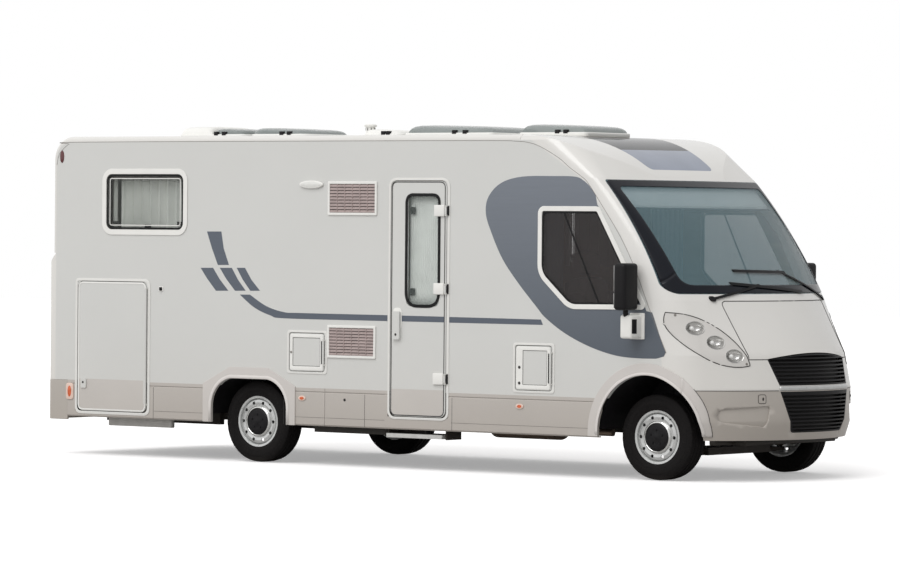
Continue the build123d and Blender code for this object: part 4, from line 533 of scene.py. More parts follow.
def cushion(name, low, high, mat, turn=None):
    """A stuffed pad of a cab seat: its faces swell, and its edges are round."""
    low, high = Vector(low), Vector(high)
    size = high - low
    power = 5.0
    made = bmesh.new()
    bmesh.ops.create_cube(made, size=2.0)
    bmesh.ops.subdivide_edges(made, edges=list(made.edges), cuts=9, use_grid_fill=True)
    for vertex in made.verts:
        p = vertex.co.copy()
        norm = (abs(p.x) ** power + abs(p.y) ** power + abs(p.z) ** power) ** (1.0 / power)
        q = (p / norm if norm else p).lerp(p, 0.12)
        vertex.co = Vector((q.x * size.x / 2, q.y * size.y / 2, q.z * size.z / 2))
    obj = placed(name, made, (low + high) / 2, turn, mat, BODY)
    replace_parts(obj, "cab_seats")


def tree_of(*names):
    """A surface finder over the named frame nodes."""
    verts, faces = [], []
    for name in names:
        mesh = nodes[name].data
        base = len(verts)
        verts.extend(v.co.copy() for v in mesh.vertices)
        faces.extend(tuple(base + i for i in p.vertices) for p in mesh.polygons)
    return BVHTree.FromPolygons(verts, faces)


NOSE = tree_of("front_cap", "windscreen", "bonnet", "headlights", "front_bumper", "grilles")
SCREEN_TREE = tree_of("windscreen")
SIDE_TREE = tree_of("front_cap", "front_bumper", "skirts", "arch_flares", "side_wall_right",
                    "side_wall_left")


def touch(tree, y, z, lift, near_x):
    """The point and outward normal of a surface, seen from ahead or else nearest to near_x."""
    hit, normal, _, _ = tree.ray_cast(Vector((6.0, y, z)), Vector((-1, 0, 0)))
    if hit is None:
        hit, normal, _, _ = tree.find_nearest(Vector((near_x, y, z)))
    if normal.x < 0:
        normal = -normal
    return hit + normal * lift, normal


def on_nose(y, z, lift=0.0):
    """The point of the nose at this distance to the side and height, and lift above it."""
    return touch(NOSE, y, z, lift, 3.0)[0]


def on_screen(y, z, lift=0.0):
    """As on_nose, but on the windscreen alone."""
    return touch(SCREEN_TREE, y, z, lift, 2.70 + (2.391 - z) * 0.70 - 0.45)[0]


def on_side(x, z, side, lift):
    """The point of the bodywork's side at this place, lifted off it."""
    hit, _, _, _ = SIDE_TREE.ray_cast(Vector((x, side * 2.0, z)), Vector((0, -side, 0)))
    y = hit.y if hit else side * WALL_Y
    return Vector((x, y + side * lift, z))


def nose_pad(name, loop, low, high, mat, rings):
    """A closed pad over a convex outline in the front view, from low to high above the nose."""
    count = len(loop)
    mid_y = sum(p[0] for p in loop) / count
    mid_z = sum(p[1] for p in loop) / count
    half = rings * count + 1
    pts, faces = [], []
    for base, lift in ((0, high), (half, low)):
        for r in range(rings):
            t = 1.0 - r / rings
            pts += [on_nose(mid_y + (y - mid_y) * t, mid_z + (z - mid_z) * t, lift) for y, z in loop]
        pts.append(on_nose(mid_y, mid_z, lift))
        faces += lattice(rings, count, base=base)
        inmost = base + (rings - 1) * count
        faces += [(inmost + i, inmost + (i + 1) % count, inmost + count) for i in range(count)]
    for i in range(count):
        j = (i + 1) % count
        faces.append((i, j, half + j, half + i))
    return from_lists(name, pts, faces, mat, weld=False)


def carve(name, cutter):
    """Cuts a hidden cutter out of a frame node's shown surface, before its edges are rounded."""
    obj = nodes[name]
    cut = obj.modifiers.new("recess", "BOOLEAN")
    cut.operation = "DIFFERENCE"
    cut.solver = "EXACT"
    cut.object = cutter
    kinds = [m.type for m in obj.modifiers]
    if "BEVEL" in kinds:
        obj.modifiers.move(len(kinds) - 1, kinds.index("BEVEL"))
    cutter.hide_render = True
    cutter.hide_viewport = True
    cutter.display_type = "WIRE"


def cloth(name, path, low_z, high_z, mat, body, rows=10, sway=0.0):
    """A cloth hung along a path in plan, with its folds a little deeper towards the hem."""
    grid = []
    for r in range(rows + 1):
        t = r / rows
        z = high_z + (low_z - high_z) * t
        grid.append([(x + sway * math.sin(i * 0.7 + t * 2.0) * t,
                      y + sway * math.cos(i * 0.9 + t * 3.0) * t, z) for i, (x, y) in enumerate(path)])
    obj = sheet_grid(name, grid, mat, body, 0.0012)


def pleats(x0, x1, y, folds, depth, steps=8, along="x"):
    """A wavy path in plan for a gathered curtain."""
    path = []
    total = folds * steps
    for i in range(total + 1):
        t = i / total
        wave = depth * math.sin(2 * math.pi * folds * t) * (0.8 + 0.2 * math.sin(5.1 * t + 1.3))
        u = x0 + (x1 - x0) * t + 0.25 * depth * math.sin(4 * math.pi * folds * t)
        path.append((u, y + wave) if along == "x" else (y + wave, u))
    return path


# Finishes of the frame's nodes
def dress(name, mat, bevel=0.0, second=None, test=None):
    """Gives a frame node its finish, rounds its edges, and puts a second finish where test says."""
    obj = nodes[name]
    obj.data.materials.clear()
    for finish in [mat] + (second or []):
        obj.data.materials.append(finish)
    for face in obj.data.polygons:
        face.material_index = test(face.center, face.normal) if second else 0
    if bevel:
        if "custom_normal" in obj.data.attributes:
            obj.data.attributes.remove(obj.data.attributes["custom_normal"])
        for face in obj.data.polygons:
            face.use_smooth = True
        weld = obj.modifiers.new("weld", "WELD")
        weld.merge_threshold = 0.00002
        edge = obj.modifiers.new("edges", "BEVEL")
        edge.width = bevel
        edge.segments = 2
        edge.limit_method = "ANGLE"
        edge.angle_limit = math.radians(32)
        edge.harden_normals = True
        edge.use_clamp_overlap = True


FINISHES = (
    (ROOF, 0.0, "roof"), (REAR_PANEL, 0.0, "rear_wall"), (RAIL, 0.0, "corner_rails"),
    (GELCOAT, 0.0, "front_cap lamp_columns"), (GELCOAT, 0.003, "bonnet"), (SCREEN, 0.0, "windscreen"),
    (BLACK, 0.0, "grilles arch_liners"), (LAMP_HOUSING, 0.002, "headlights"),
    (BUMPER, 0.0, "front_bumper"), (BUMPER, 0.006, "rear_bumper"), (SKIRT, 0.0, "skirts"),
    (FLARE, 0.004, "arch_flares"), (BOARDS, 0.0, "partitions"), (TRIM, 0.003, "window_frames"),
    (HINGE, 0.0, "wall_hinges"), (PANEL, 0.004, "entry_door garage_door_right garage_door_left"),
    (PANEL, 0.003, "service_flap locker_flap"), (DOOR_GLASS, 0.0, "entry_door_pane"),
    (STEEL, 0.002, "chassis_frame"), (STEEL, 0.0, "rear_axle front_axle"),
    (CASTING, 0.01, "engine_block"), (CASTING, 0.0, "knuckle_right knuckle_left"),
    (TANK, 0.0, "underfloor_tanks"), (EXHAUST, 0.0, "exhaust"), (BLACK, 0.0015, "wipers"),
    (STEP, 0.0, "entry_step"), (DASH, 0.006, "dashboard"), (WHEEL_GRIP, 0.0, "steering_wheel"),
    (RIM, 0.0, "rim_front_right rim_front_left rim_rear_right rim_rear_left"))
for finish, bevel, names in FINISHES:
    for name in names.split():
        dress(name, finish, bevel)
for side, hand in SIDES:
    dress("side_wall_" + hand, PANEL, second=[BOARDS], test=lambda c,
          n: abs(c.y) < 1.121 and abs(n.y) > 0.9)
# Ahead of x = 1.98 the roof window carries the painted sky reflection.
dress("roof_window", DARK_GLASS, second=[PAINTED_SKY_REFLECTION_GLASS], test=lambda c, n: c.x > 1.98)
dress("floor", UNDERFLOOR, second=[BOARDS], test=lambda c, n: n.z > 0.5)
dress("side_windows", PANE, second=[CAB_GLASS], test=lambda c, n: c.x > 1.6)
dress("lamps", RED, second=[AMBER, DARK_RED], test=lambda c, n: 1 if c.z < 0.6 else 2 * (c.z > 1.0))
dress("mirrors", BLACK, 0.006, second=[TRIM], test=lambda c, n: c.z < 1.338)


# Stripes and coloured fields on both sides
FILM = 0.0007
CAB_PANE = ((1.676, 2.132), (2.215, 2.132), (2.650, 1.395), (1.960, 1.388), (1.676, 1.640))
BLOCKS = (
    ((-1.836, 1.941), (-1.677, 1.942), (-1.650, 1.800), (-1.591, 1.660), (-1.713, 1.658), (-1.780, 1.800)),
    ((-1.903, 1.632), (-1.766, 1.634), (-1.690, 1.536), (-1.595, 1.442), (-1.732, 1.440), (-1.830, 1.542)),
    ((-1.692, 1.635), (-1.559, 1.636), (-1.490, 1.536), (-1.406, 1.445), (-1.522, 1.443), (-1.618, 1.540)),
    ((-1.506, 1.637), (-1.415, 1.638), (-1.344, 1.538), (-1.250, 1.447), (-1.355, 1.445), (-1.440, 1.540)),
)
STRIPE_TOP = smooth_line([(-1.359, 1.413), (-1.181, 1.320), (-0.992, 1.273), (-0.80, 1.268),
                          (0.109, 1.267)])
STRIPE_LOW = smooth_line([(-1.470, 1.412), (-1.311, 1.306), (-1.135, 1.242), (-0.962, 1.220),
                          (0.005, 1.218), (0.109, 1.218)])
SWOOSH_LINE = smooth_line([(2.137, 2.335), (2.080, 2.378), (1.999, 2.408), (1.800, 2.413), (1.471, 2.408),
                           (1.260, 2.356), (1.134, 2.243), (1.110, 2.110), (1.165, 1.960), (1.280, 1.745),
                           (1.438, 1.554), (1.622, 1.365), (1.720, 1.272), (1.918, 1.150), (2.164, 1.049),
                           (2.407, 0.988), (2.615, 0.971), (2.800, 0.972)], 5)
SWOOSH_FRONT = [(2.872, 0.990), (2.888, 1.023), (2.830, 1.155), (2.772, 1.300), (2.756, 1.336),
                (2.700, 1.346), (2.676, 1.410), (2.241, 2.147), (2.215, 2.190), (2.200, 2.262)]
LOUNGE_FRAME_X = 1.284
for side, hand in SIDES:
    wall = side_map(side)
    for i, outline in enumerate(BLOCKS):
        plate("stripe_block_%d_%s" % (i + 1, hand), [outline], wall, FILM, STRIPE)
    plate("stripe_tail_" + hand, [STRIPE_TOP + STRIPE_LOW[::-1]], wall, FILM, STRIPE)
    swoosh = SWOOSH_LINE
    if side > 0:
        swoosh = [(max(x, LOUNGE_FRAME_X), z) if 1.672 < z < 2.288 else (x, z) for x, z in SWOOSH_LINE]
    plate("swoosh_" + hand, [swoosh + SWOOSH_FRONT, grown(rounded(CAB_PANE, 0.06), 0.018)], wall, 0.0008,
          SWOOSH)
    rear_end = [(0.748, 1.264), (0.748, 1.217)] if side < 0 else [(0.109, 1.267), (0.109, 1.218)]
    plate("stripe_front_" + hand, [[rear_end[0], (1.671, 1.260), (1.692, 1.217), rear_end[1]]], wall, FILM,
          STRIPE)
    if side < 0:
        plate("stripe_door_right", [[(0.252, 1.266), (0.700, 1.265), (0.700, 1.218), (0.252, 1.218)]], wall,
              FILM, STRIPE, "entry_door")


# World and lights
def add_light():
    """Softer from ahead and brighter from the side and above, and plain white where it is seen."""
    world = bpy.data.worlds.new("studio")
    scene.world = world
    world.use_nodes = True
    tree = world.node_tree
    facing = node(tree, "VectorMath", {0: node(tree, "TexCoord", {}).outputs["Generated"],
                                       1: (0.86, 0.42, -0.28)}, operation="DOT_PRODUCT")
    strength = node(tree, "MapRange", {"From Min": -1.0, "From Max": 1.0, "To Min": 1.12, "To Max": 0.42,
                                       "Value": facing.outputs["Value"]})
    path = node(tree, "LightPath", {}).outputs
    seen = node(tree, "Math", {0: path["Is Camera Ray"], 1: path["Is Transmission Ray"]},
                operation="MAXIMUM")
    pick = node(tree, "Mix", {"Factor": seen.outputs[0], "A": strength.outputs["Result"], "B": 1.0})
    back = tree.nodes["Background"]
    feed(tree, back, "Color", (1.0, 1.0, 1.0, 1.0))
    feed(tree, back, "Strength", pick.outputs["Result"])
    data = bpy.data.lights.new("key", "SUN")
    data.energy = 1.1
    data.angle = math.radians(40.0)
    lamp = bpy.data.objects.new("key", data)
    scene.collection.objects.link(lamp)
    lamp.rotation_euler = Vector((0.05, -0.66, 0.75)).to_track_quat("Z", "Y").to_euler()


def add_floor():
    """A wide matte floor that glows a little for the camera, so that it meets the white behind it."""
    far = 60.0
    mesh = bpy.data.meshes.new("floor")
    mesh.from_pydata([(-far, -far, 0), (far, -far, 0), (far, far, 0), (-far, far, 0)], [], [(0, 1, 2, 3)])
    floor = bpy.data.objects.new("studio_floor", mesh)
    scene.collection.objects.link(floor)
    floor.location.z = -0.001
    mat = bpy.data.materials.new("studio_floor")
    mat.use_nodes = True
    tree = mat.node_tree
    tree.nodes.clear()
    matte = node(tree, "BsdfDiffuse", {"Color": (0.86, 0.85, 0.85, 1.0)})
    bounce = node(tree, "BsdfDiffuse", {"Color": (0.5, 0.49, 0.48, 1.0)})
    glow = node(tree, "Emission", {"Strength": 0.34})
    both = node(tree, "AddShader", {0: matte.outputs[0], 1: glow.outputs[0]})
    seen = node(tree, "LightPath", {}).outputs["Is Camera Ray"]
    pick = node(tree, "MixShader", {"Fac": seen, 1: bounce.outputs[0], 2: both.outputs[0]})
    node(tree, "OutputMaterial", {"Surface": pick.outputs[0]})
    mesh.materials.append(mat)


add_light()
add_floor()
scene.view_settings.view_transform = "Standard"


# Wheels: turned tyres with three tread grooves, hub caps, rings and bolts
TYRE_SIDE = [(0.214, 0.088), (0.232, 0.099), (0.276, 0.1075), (0.318, 0.101), (0.338, 0.086)]
TYRE_SEGMENTS = 41
TREAD_BLOCKS = 82
TREAD_ROWS_PER_METRE = 22.0
HUB_CAP = [(0.0, 0.014), (0.020, 0.0145), (0.028, 0.010), (0.060, 0.011), (0.086, 0.009), (0.104, 0.004),
           (0.1125, -0.002), (0.1125, -0.012), (0.0, -0.012)]
HUB_RING = [(0.113, -0.014), (0.113, 0.002), (0.1165, 0.0045), (0.123, 0.003), (0.129, -0.002),
            (0.130, -0.014)]
BOLT_RADIUS = 0.058
VALVE_RADIUS, VALVE_TURN = 0.192, 0.9


def tyre_piece(tag, centre, body):
    """A tyre of the frame's own size, with its tread's coordinates round it and over its profile."""
    profile = [(r, -w) for r, w in TYRE_SIDE]
    for groove in (-0.045, 0.0, 0.045):
        profile += [(0.3428, groove - 0.007), (0.3350, groove), (0.3428, groove + 0.007)]
    profile += TYRE_SIDE[::-1]
    cx, cy, cz = centre
    pts = [(cx + r * math.cos(a), cy + w, cz + r * math.sin(a)) for r, w in profile
           for a in turns(TYRE_SEGMENTS)]
    lengths = [0.0]
    for (r0, w0), (r1, w1) in zip(profile, profile[1:]):
        lengths.append(lengths[-1] + math.hypot(r1 - r0, w1 - w0))
    mesh = bpy.data.meshes.new("road_tyre_" + tag)
    mesh.from_pydata(pts, [], lattice(len(profile), TYRE_SEGMENTS))
    uv = mesh.uv_layers.new(name="UVMap")
    for face in mesh.polygons:
        i, k = divmod(face.index, TYRE_SEGMENTS)
        for corner, (di, dk) in zip(face.loop_indices, ((0, 0), (0, 1), (1, 1), (1, 0))):
            uv.data[corner].uv = ((k + dk) / TYRE_SEGMENTS * TREAD_BLOCKS,
                                  lengths[i + di] * TREAD_ROWS_PER_METRE)
    clean(mesh, False)
    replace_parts(add("road_tyre_" + tag, mesh, TYRE, body), "tyre_" + tag)


def wheel_trim(tag, centre, out, body):
    """Black cap with a bright ring over the hub, wheel bolts in it, and a valve.
    out is the way the wheel's outer side faces."""
    cx, cy, cz = centre
    start = Vector((cx, cy + out * 0.6, cz))
    hit, _, _, _ = tree_of("rim_" + tag).ray_cast(start + Vector((0.06, 0, 0)), Vector((0, -out, 0)))
    face = hit.y if hit else cy + out * 0.08
    axis = (0, out, 0)
    base = (cx, face, cz)
    lathe("hub_cap_" + tag, HUB_CAP, base, axis, BLACK, body, 48)
    lathe("hub_ring_" + tag, HUB_RING, base, axis, CHROME, body, 48)
    for k in range(5):
        a = 2 * math.pi * k / 5 + 0.3
        place = (cx + BOLT_RADIUS * math.cos(a), face + out * 0.010, cz + BOLT_RADIUS * math.sin(a))
        lathe("wheel_bolt_%s_%d" % (tag, k + 1), [(0.0, 0.007), (0.007, 0.0065), (0.0095, 0.003),
                                                 (0.0095, -0.003)], place, axis, BLACK, body, 6)
    across, up = math.cos(VALVE_TURN), math.sin(VALVE_TURN)
    foot = Vector((cx + VALVE_RADIUS * across, cy + out * 0.060, cz + VALVE_RADIUS * up))
    tube("valve_" + tag, [foot, foot + Vector((-0.012 * across, out * 0.022, -0.012 * up))], 0.0045, RUBBER,
         body)


for end, axle_x, track in (("front", FRONT_AXLE_X, 0.895), ("rear", REAR_AXLE_X, 0.940)):
    for side, hand in SIDES:
        tag = "%s_%s" % (end, hand)
        centre = (axle_x, side * track, WHEEL_Z)
        tyre_piece(tag, centre, "wheel_" + tag)
        wheel_trim(tag, centre, side, "wheel_" + tag)


# The windscreen's black band, and the blind that hangs inside it
BAND_POINTS, BAND_ROWS, BAND_LIFT = 260, 10, 0.0028
band_outer = resample(rounded([(-1.110, 1.488), (1.110, 1.488), (1.088, 2.383), (-1.088, 2.383)],
                              [0.085, 0.085, 0.03, 0.03], 8), BAND_POINTS)
band_inner = resample(rounded([(-0.985, 1.552), (0.985, 1.552), (1.010, 2.332), (-1.010, 2.332)],
                              [0.10, 0.10, 0.04, 0.04], 8), BAND_POINTS)
rows = []
for i in range(BAND_ROWS + 1):
    t = i / BAND_ROWS
    rows.append([on_screen(a[0] + (b[0] - a[0]) * t, a[1] + (b[1] - a[1]) * t, BAND_LIFT)
                 for a, b in zip(band_outer + band_outer[:1], band_inner + band_inner[:1])])
sheet_grid("windscreen_band", rows, GLOSS_BLACK, thick=0.0012)
VISOR = material("visor_cloth", (240, 246, 246), 0.7, spread=0.04, grain=6.0, bump=0.2, bump_grain=90.0)
rows = [[on_screen(-1.01 + 2.02 * i / 40, 2.365 - row * 0.030, -0.030) for i in range(41)]
        for row in range(7)]
sheet_grid("windscreen_blind", rows, VISOR, thick=0.002)
tube("windscreen_blind_bar", [on_screen(-1.0 + 2.0 * i / 30, 2.182, -0.032) for i in range(31)], 0.007,
     DASH)


# Headlights: seam, screws, and three round reflector lamps sunk in each housing
LAMP_TIP, LAMP_TOP = (1.126, 1.338), (0.880, 1.243)
LAMP_FOOT, LAMP_UNDER = (0.703, 0.922), (0.985, 0.968)
LEAF = arc_through(LAMP_TIP, LAMP_TOP, LAMP_FOOT, 24) + arc_through(LAMP_FOOT, LAMP_UNDER, LAMP_TIP, 24)
LAMPS = ((1.004, 1.216, 0.054), (0.902, 1.104, 0.054), (0.806, 0.997, 0.054))
LAMP_WIDTH = 1.36
LAMP_STEPS = 32
BOWL_DEPTH = 0.062
BOWL = ((0.0, 1.0), (0.25, 0.97), (0.55, 0.86), (0.8, 0.66), (0.95, 0.42), (1.0, 0.12))
BULB_FORM = [(0.0, 0.026), (0.010, 0.024), (0.017, 0.016), (0.019, 0.004), (0.015, -0.008), (0.0, -0.012)]


def reflector_lamp(tag, side, y, z, r):
    """A bright bowl and its bulb, sunk in a hole that is cut in the housing."""
    centre = on_nose(side * y, z)
    axis = Vector((0.90, side * 0.40, 0.05)).normalized()
    u = axis.cross(Vector((0, 0, 1))).normalized()
    v = axis.cross(u)
    ring = []
    for a in turns(LAMP_STEPS):
        offset = (u * math.cos(a) * LAMP_WIDTH + v * math.sin(a)) * (r + 0.0015)
        hit, _, _, _ = NOSE.ray_cast(centre + offset + axis * 0.25, -axis)
        ring.append(((hit if hit else centre + offset) - axis * 0.0015, offset))
    rows = []
    for t, narrow in BOWL:
        row = [top.lerp(centre - axis * BOWL_DEPTH + offset, t) - offset * (1.0 - narrow)
               for top, offset in ring]
        rows.append(row + [row[0]])
    sheet_grid("headlight_bowl_" + tag, rows, REFLECTOR, BODY, 0.0008)
    tube("headlight_ring_" + tag, [p + axis * 0.001 for p, _ in ring], 0.0026, CHROME, closed=True, sides=6)
    lathe("headlight_bulb_" + tag, BULB_FORM, centre - axis * 0.046 - u * 0.012 * side, axis, BULB,
          segments=20)
    hole = [centre + (u * math.cos(a) * LAMP_WIDTH + v * math.sin(a)) * r + axis * level
            for level in (-0.07, 0.09) for a in turns(LAMP_STEPS)]
    faces = lattice(2, LAMP_STEPS)
    faces.append(tuple(range(LAMP_STEPS)))
    faces.append(tuple(range(2 * LAMP_STEPS - 1, LAMP_STEPS - 1, -1)))
    carve("headlights", from_lists("headlight_cutter_" + tag, hole, faces, SEAM, weld=False, smooth=False))


for side, hand in SIDES:
    seam = [on_nose(y, z, 0.0006) for y, z in resample(mirrored(LEAF, side), 120)]
    tube("headlight_seam_" + hand, seam, 0.0038, SEAM, closed=True, sides=6)
    for i, (y, z, r) in enumerate(LAMPS):
        reflector_lamp("%s_%d" % (hand, i + 1), side, y, z, r)
    for y, z in ((1.092, 1.318), (0.728, 0.935)):
        place, normal = touch(NOSE, side * y, z, 0.0, 3.0)
        lathe("headlight_screw_%s_%d" % (hand, int(z * 1000)),
              [(0.0, 0.002), (0.004, 0.0015), (0.009, 0.002), (0.011, 0.0), (0.011, -0.004)],
              place, normal, GREY_TRIM_AND_GROOVE_SHADE, segments=16)


# Bumper: bright bar, side seams, long recess, and the towing eye's cover
rows = [[on_nose(-0.492 + 0.984 * i / 40, 0.7575 - row * 0.0115,
                 0.0018 + (0.0035 if row in (1, 2) else 0.0)) for i in range(41)] for row in range(4)]
sheet_grid("grille_bar", rows, RIM, BODY, 0.0015)
for side, hand in SIDES:
    tube("bumper_seam_" + hand, [on_nose(side * (0.50 + 0.60 * i / 30), 0.7245) for i in range(31)], 0.0028,
         SEAM, sides=6)
    recess = mirrored([(0.955, 0.578), (0.955, 0.478), (0.610, 0.432), (0.575, 0.606)], side)
    recess = resample(rounded(recess, [0.05, 0.05, 0.03, 0.03]), 72)
    carve("front_bumper", nose_pad("bumper_slot_cutter_" + hand, recess, -0.012, 0.030, SEAM, 9))
    cover = box_loop(side * 0.618, side * 0.672, 0.628, 0.690, 0.012, 4)
    nose_pad("towing_eye_cover_" + hand, cover, -0.002, 0.003, BUMPER, 3)
    tube("towing_eye_seam_" + hand, [on_nose(y, z, 0.0005) for y, z in grown(cover, 0.004)], 0.002, SEAM,
         closed=True, sides=6)
    lathe("towing_eye_catch_" + hand, [(0.0, 0.003), (0.012, 0.002), (0.014, -0.002)],
          on_nose(side * 0.634, 0.659, 0.002), (1, 0, 0), SEAM, segments=16)


# Dark backing behind the grille bars, trays below the bumper, and the seam round the bonnet
rows = []
for row in range(12):
    z = 0.372 + 0.622 * row / 11
    front_x = 3.549 - 0.10 * max(0.0, z - 0.78) - 0.35 * max(0.0, z - 0.9)
    rows.append([(front_x - 0.36 * y * y, y, z) for y in (-0.535 + 1.07 * i / 20 for i in range(21))])
sheet_grid("grille_backing", rows, SEAM, BODY, 0.002)
block("engine_tray", (3.140, -0.66, 0.284), (3.330, 0.66, 0.334), TANK, radius=0.012)
block("engine_tray_rear", (3.138, -0.90, 0.290), (3.205, 0.90, 0.338), TANK, radius=0.012)
for side, hand in SIDES:
    block("rear_rail_end_" + hand, (-3.125, side * 0.880, 0.250), (-2.405, side * 0.925, 0.336), GALVANISED,
          radius=0.008)
bonnet_edge = rounded([(-0.7015, 0.9685), (0.7015, 0.9685), (0.7355, 1.4275), (-0.7355, 1.4275)],
                      [0.0, 0.0, 0.043, 0.043], 8)
bonnet_edge = [p for p in resample(bonnet_edge, 200) if p[1] > 0.972]
bonnet_edge.sort(key=lambda p: math.atan2(p[0], p[1] - 0.9))
bonnet_line = []
for y, z in bonnet_edge:
    # Between the bodywork on both sides of the gap, so that the seam doesn't sink in it
    out_y = math.copysign(0.012, y) if abs(y) > 0.69 else 0.0
    out_z = 0.012 if z > 1.40 else 0.0
    bonnet_line.append((on_nose(y + out_y, z + out_z) + on_nose(y - out_y, z - out_z)) / 2)
tube("bonnet_seam", bonnet_line, 0.0030, SEAM, sides=6)


# Lips round the wheel arches, carried on over the bumper's end at the front; their lighter grey is a
# painted highlight.
ARCH_Z, ARCH_R, FLARE_R = 0.380, 0.458, 0.553
FLARE_TAPER = 0.042
FLARE_FOOT_X = 0.328
FLARE_END = math.radians(-2.4)


def arch_point(radius, a, side, lift):
    return on_side(FRONT_AXLE_X + radius * math.cos(a), ARCH_Z + radius * math.sin(a), side, lift)


def flare_row(side, first, last, lift, radius_at):
    """A row of points along the front flare, whose radius falls from its foot to its rear end."""
    row = []
    for i in range(first, last):
        t = i / 28
        radius = radius_at(t)
        start = math.acos(FLARE_FOOT_X / radius)
        row.append(arch_point(radius, start + (FLARE_END - start) * t, side, lift))
    return row


for side, hand in SIDES:
    rows = [flare_row(side, 0, 29, lift, lambda t: ARCH_R + (FLARE_R - ARCH_R - FLARE_TAPER * t) * across)
            for across, lift in ((0.01, -0.004), (0.03, 0.0075), (0.14, 0.0105), (0.90, 0.0100),
                                 (0.98, 0.006), (1.0, -0.003))]
    sheet_grid("front_flare_" + hand, rows, FLARE, BODY, 0.0015)
    tube("front_flare_seam_" + hand, flare_row(side, 6, 29, 0.0,
                                               lambda t: FLARE_R - FLARE_TAPER * t + 0.0015), 0.0024, SEAM,
         sides=6)
    lip = [(REAR_AXLE_X - 0.408, 0.345), (REAR_AXLE_X - 0.408, 0.463)]
    lip += [(REAR_AXLE_X - 0.165 - 0.243 * math.cos(a), 0.463 + 0.243 * math.sin(a))
            for a in (math.radians(9 * k) for k in range(1, 10))]
    lip += [(2 * REAR_AXLE_X - x, z) for x, z in lip[::-1]]
    wide = grown(lip + [(REAR_AXLE_X, -1.0)], 0.030)[:-1]
    rows = []
    for across, lift in ((0.0, 0.001), (0.12, 0.0125), (0.5, 0.0150), (0.9, 0.0125), (1.0, 0.0095)):
        row = [(a[0] + (b[0] - a[0]) * across, side * (WALL_Y + lift), a[1] + (b[1] - a[1]) * across)
               for a, b in zip(lip, wide)]
        for foot in (0, -1):
            row[foot] = (row[foot][0], row[foot][1], 0.336)
        rows.append(row)
    sheet_grid("rear_arch_lip_" + hand, rows, ARCH_LIP_HIGHLIGHT, BODY, 0.0012)
    rows = []
    for across, lift in ((-0.012, -0.006), (0.02, 0.0022), (0.13, 0.0040), (0.24, 0.0010)):
        radius = ARCH_R + (FLARE_R - ARCH_R) * across
        probe = ARCH_R + (FLARE_R - ARCH_R) * max(across, 0.02)
        row = []
        for i in range(49):
            a = math.radians(-2.2 + 185.0 * i / 48)
            beyond = FRONT_AXLE_X + probe * math.cos(a) > 3.030
            face = arch_point(probe, a, side, lift + (0.0105 if beyond else 0.0))
            row.append((FRONT_AXLE_X + radius * math.cos(a), face.y, ARCH_Z + radius * math.sin(a)))
        rows.append(row)
    sheet_grid("front_arch_lip_" + hand, rows, ARCH_LIP_HIGHLIGHT, BODY, 0.0012)


# Side seams, door and hatch frames, grey lower fields, locks
SEAM_LINE = smooth_line([
    (-3.542, 2.505), (-3.520, 2.590), (-3.474, 2.640), (-3.400, 2.686), (-3.278, 2.7025), (-0.405, 2.7025),
    (1.145, 2.700), (1.400, 2.694), (1.524, 2.684), (1.649, 2.650), (1.832, 2.560), (1.943, 2.481),
    (2.054, 2.413), (2.123, 2.358), (2.262, 2.180), (2.442, 1.935), (2.581, 1.692), (2.720, 1.384),
    (2.892, 1.019)], 4)
DOOR = (0.143, 0.712, 0.440, 2.371)
GARAGE = (-3.283, -2.503, 0.386, 1.500)
FRAME_THICK, FRAME_ROUND = 0.0045, 0.0018


def low_field(box, near, far, top, radius):
    """The outline of the grey field on the lower part of a door."""
    x0, x1, z0, _ = box
    return box_loop(x0 + near, x1 + far, z0 + near, top, [radius, radius, 0.001, 0.001])


def hatch_frame(name, side, outer, inner):
    """The raised white frame round a door or hatch."""
    plate(name, [outer, inner], side_map(side), FRAME_THICK, FRAME_EDGE, edge=FRAME_ROUND)


for side, hand in SIDES:
    wall = side_map(side)
    garage = "garage_door_" + hand
    # The wall seam is a grey line of painted shade in the seam's groove.
    tube("wall_seam_" + hand, [(x, side * (WALL_Y - 0.0006), z) for x, z in SEAM_LINE], 0.0024, GREY_TRIM_AND_GROOVE_SHADE,
         sides=6)
    hatch_frame("garage_frame_" + hand, side,
                margin_loop(GARAGE, -0.028, 0.042, -0.030, 0.028, [0.070, 0.070, 0.070, 0.036]),
                margin_loop(GARAGE, -0.005, 0.014, -0.006, 0.005, [0.05, 0.05, 0.05, 0.02]))
    seal = margin_loop(GARAGE, 0.004, -0.010, 0.004, -0.004, 0.05)
    plate("garage_edge_" + hand, [seal, grown(seal, -0.012)], wall, 0.0022, TRIM, garage, 0.0009)
    plate("garage_low_field_" + hand, [low_field(GARAGE, 0.017, -0.023, 0.658, 0.04)], wall, 0.0009, FIELD,
          garage, 0.0)
    lock("garage_lock_" + hand, (0.008, 0.010), (0.0135, 0.012, 0.004),
         (-3.213, side * (WALL_Y + 0.002), 0.628), side, SEAM, garage)
    block("garage_catch_" + hand, (-2.352, side * WALL_Y, 1.432), (-2.328, side * (WALL_Y + 0.018), 1.462),
          BLACK, radius=0.005)
    block("garage_catch_foot_" + hand, (-2.364, side * WALL_Y, 1.426),
          (-2.316, side * (WALL_Y + 0.004), 1.468), TRIM, radius=0.002)

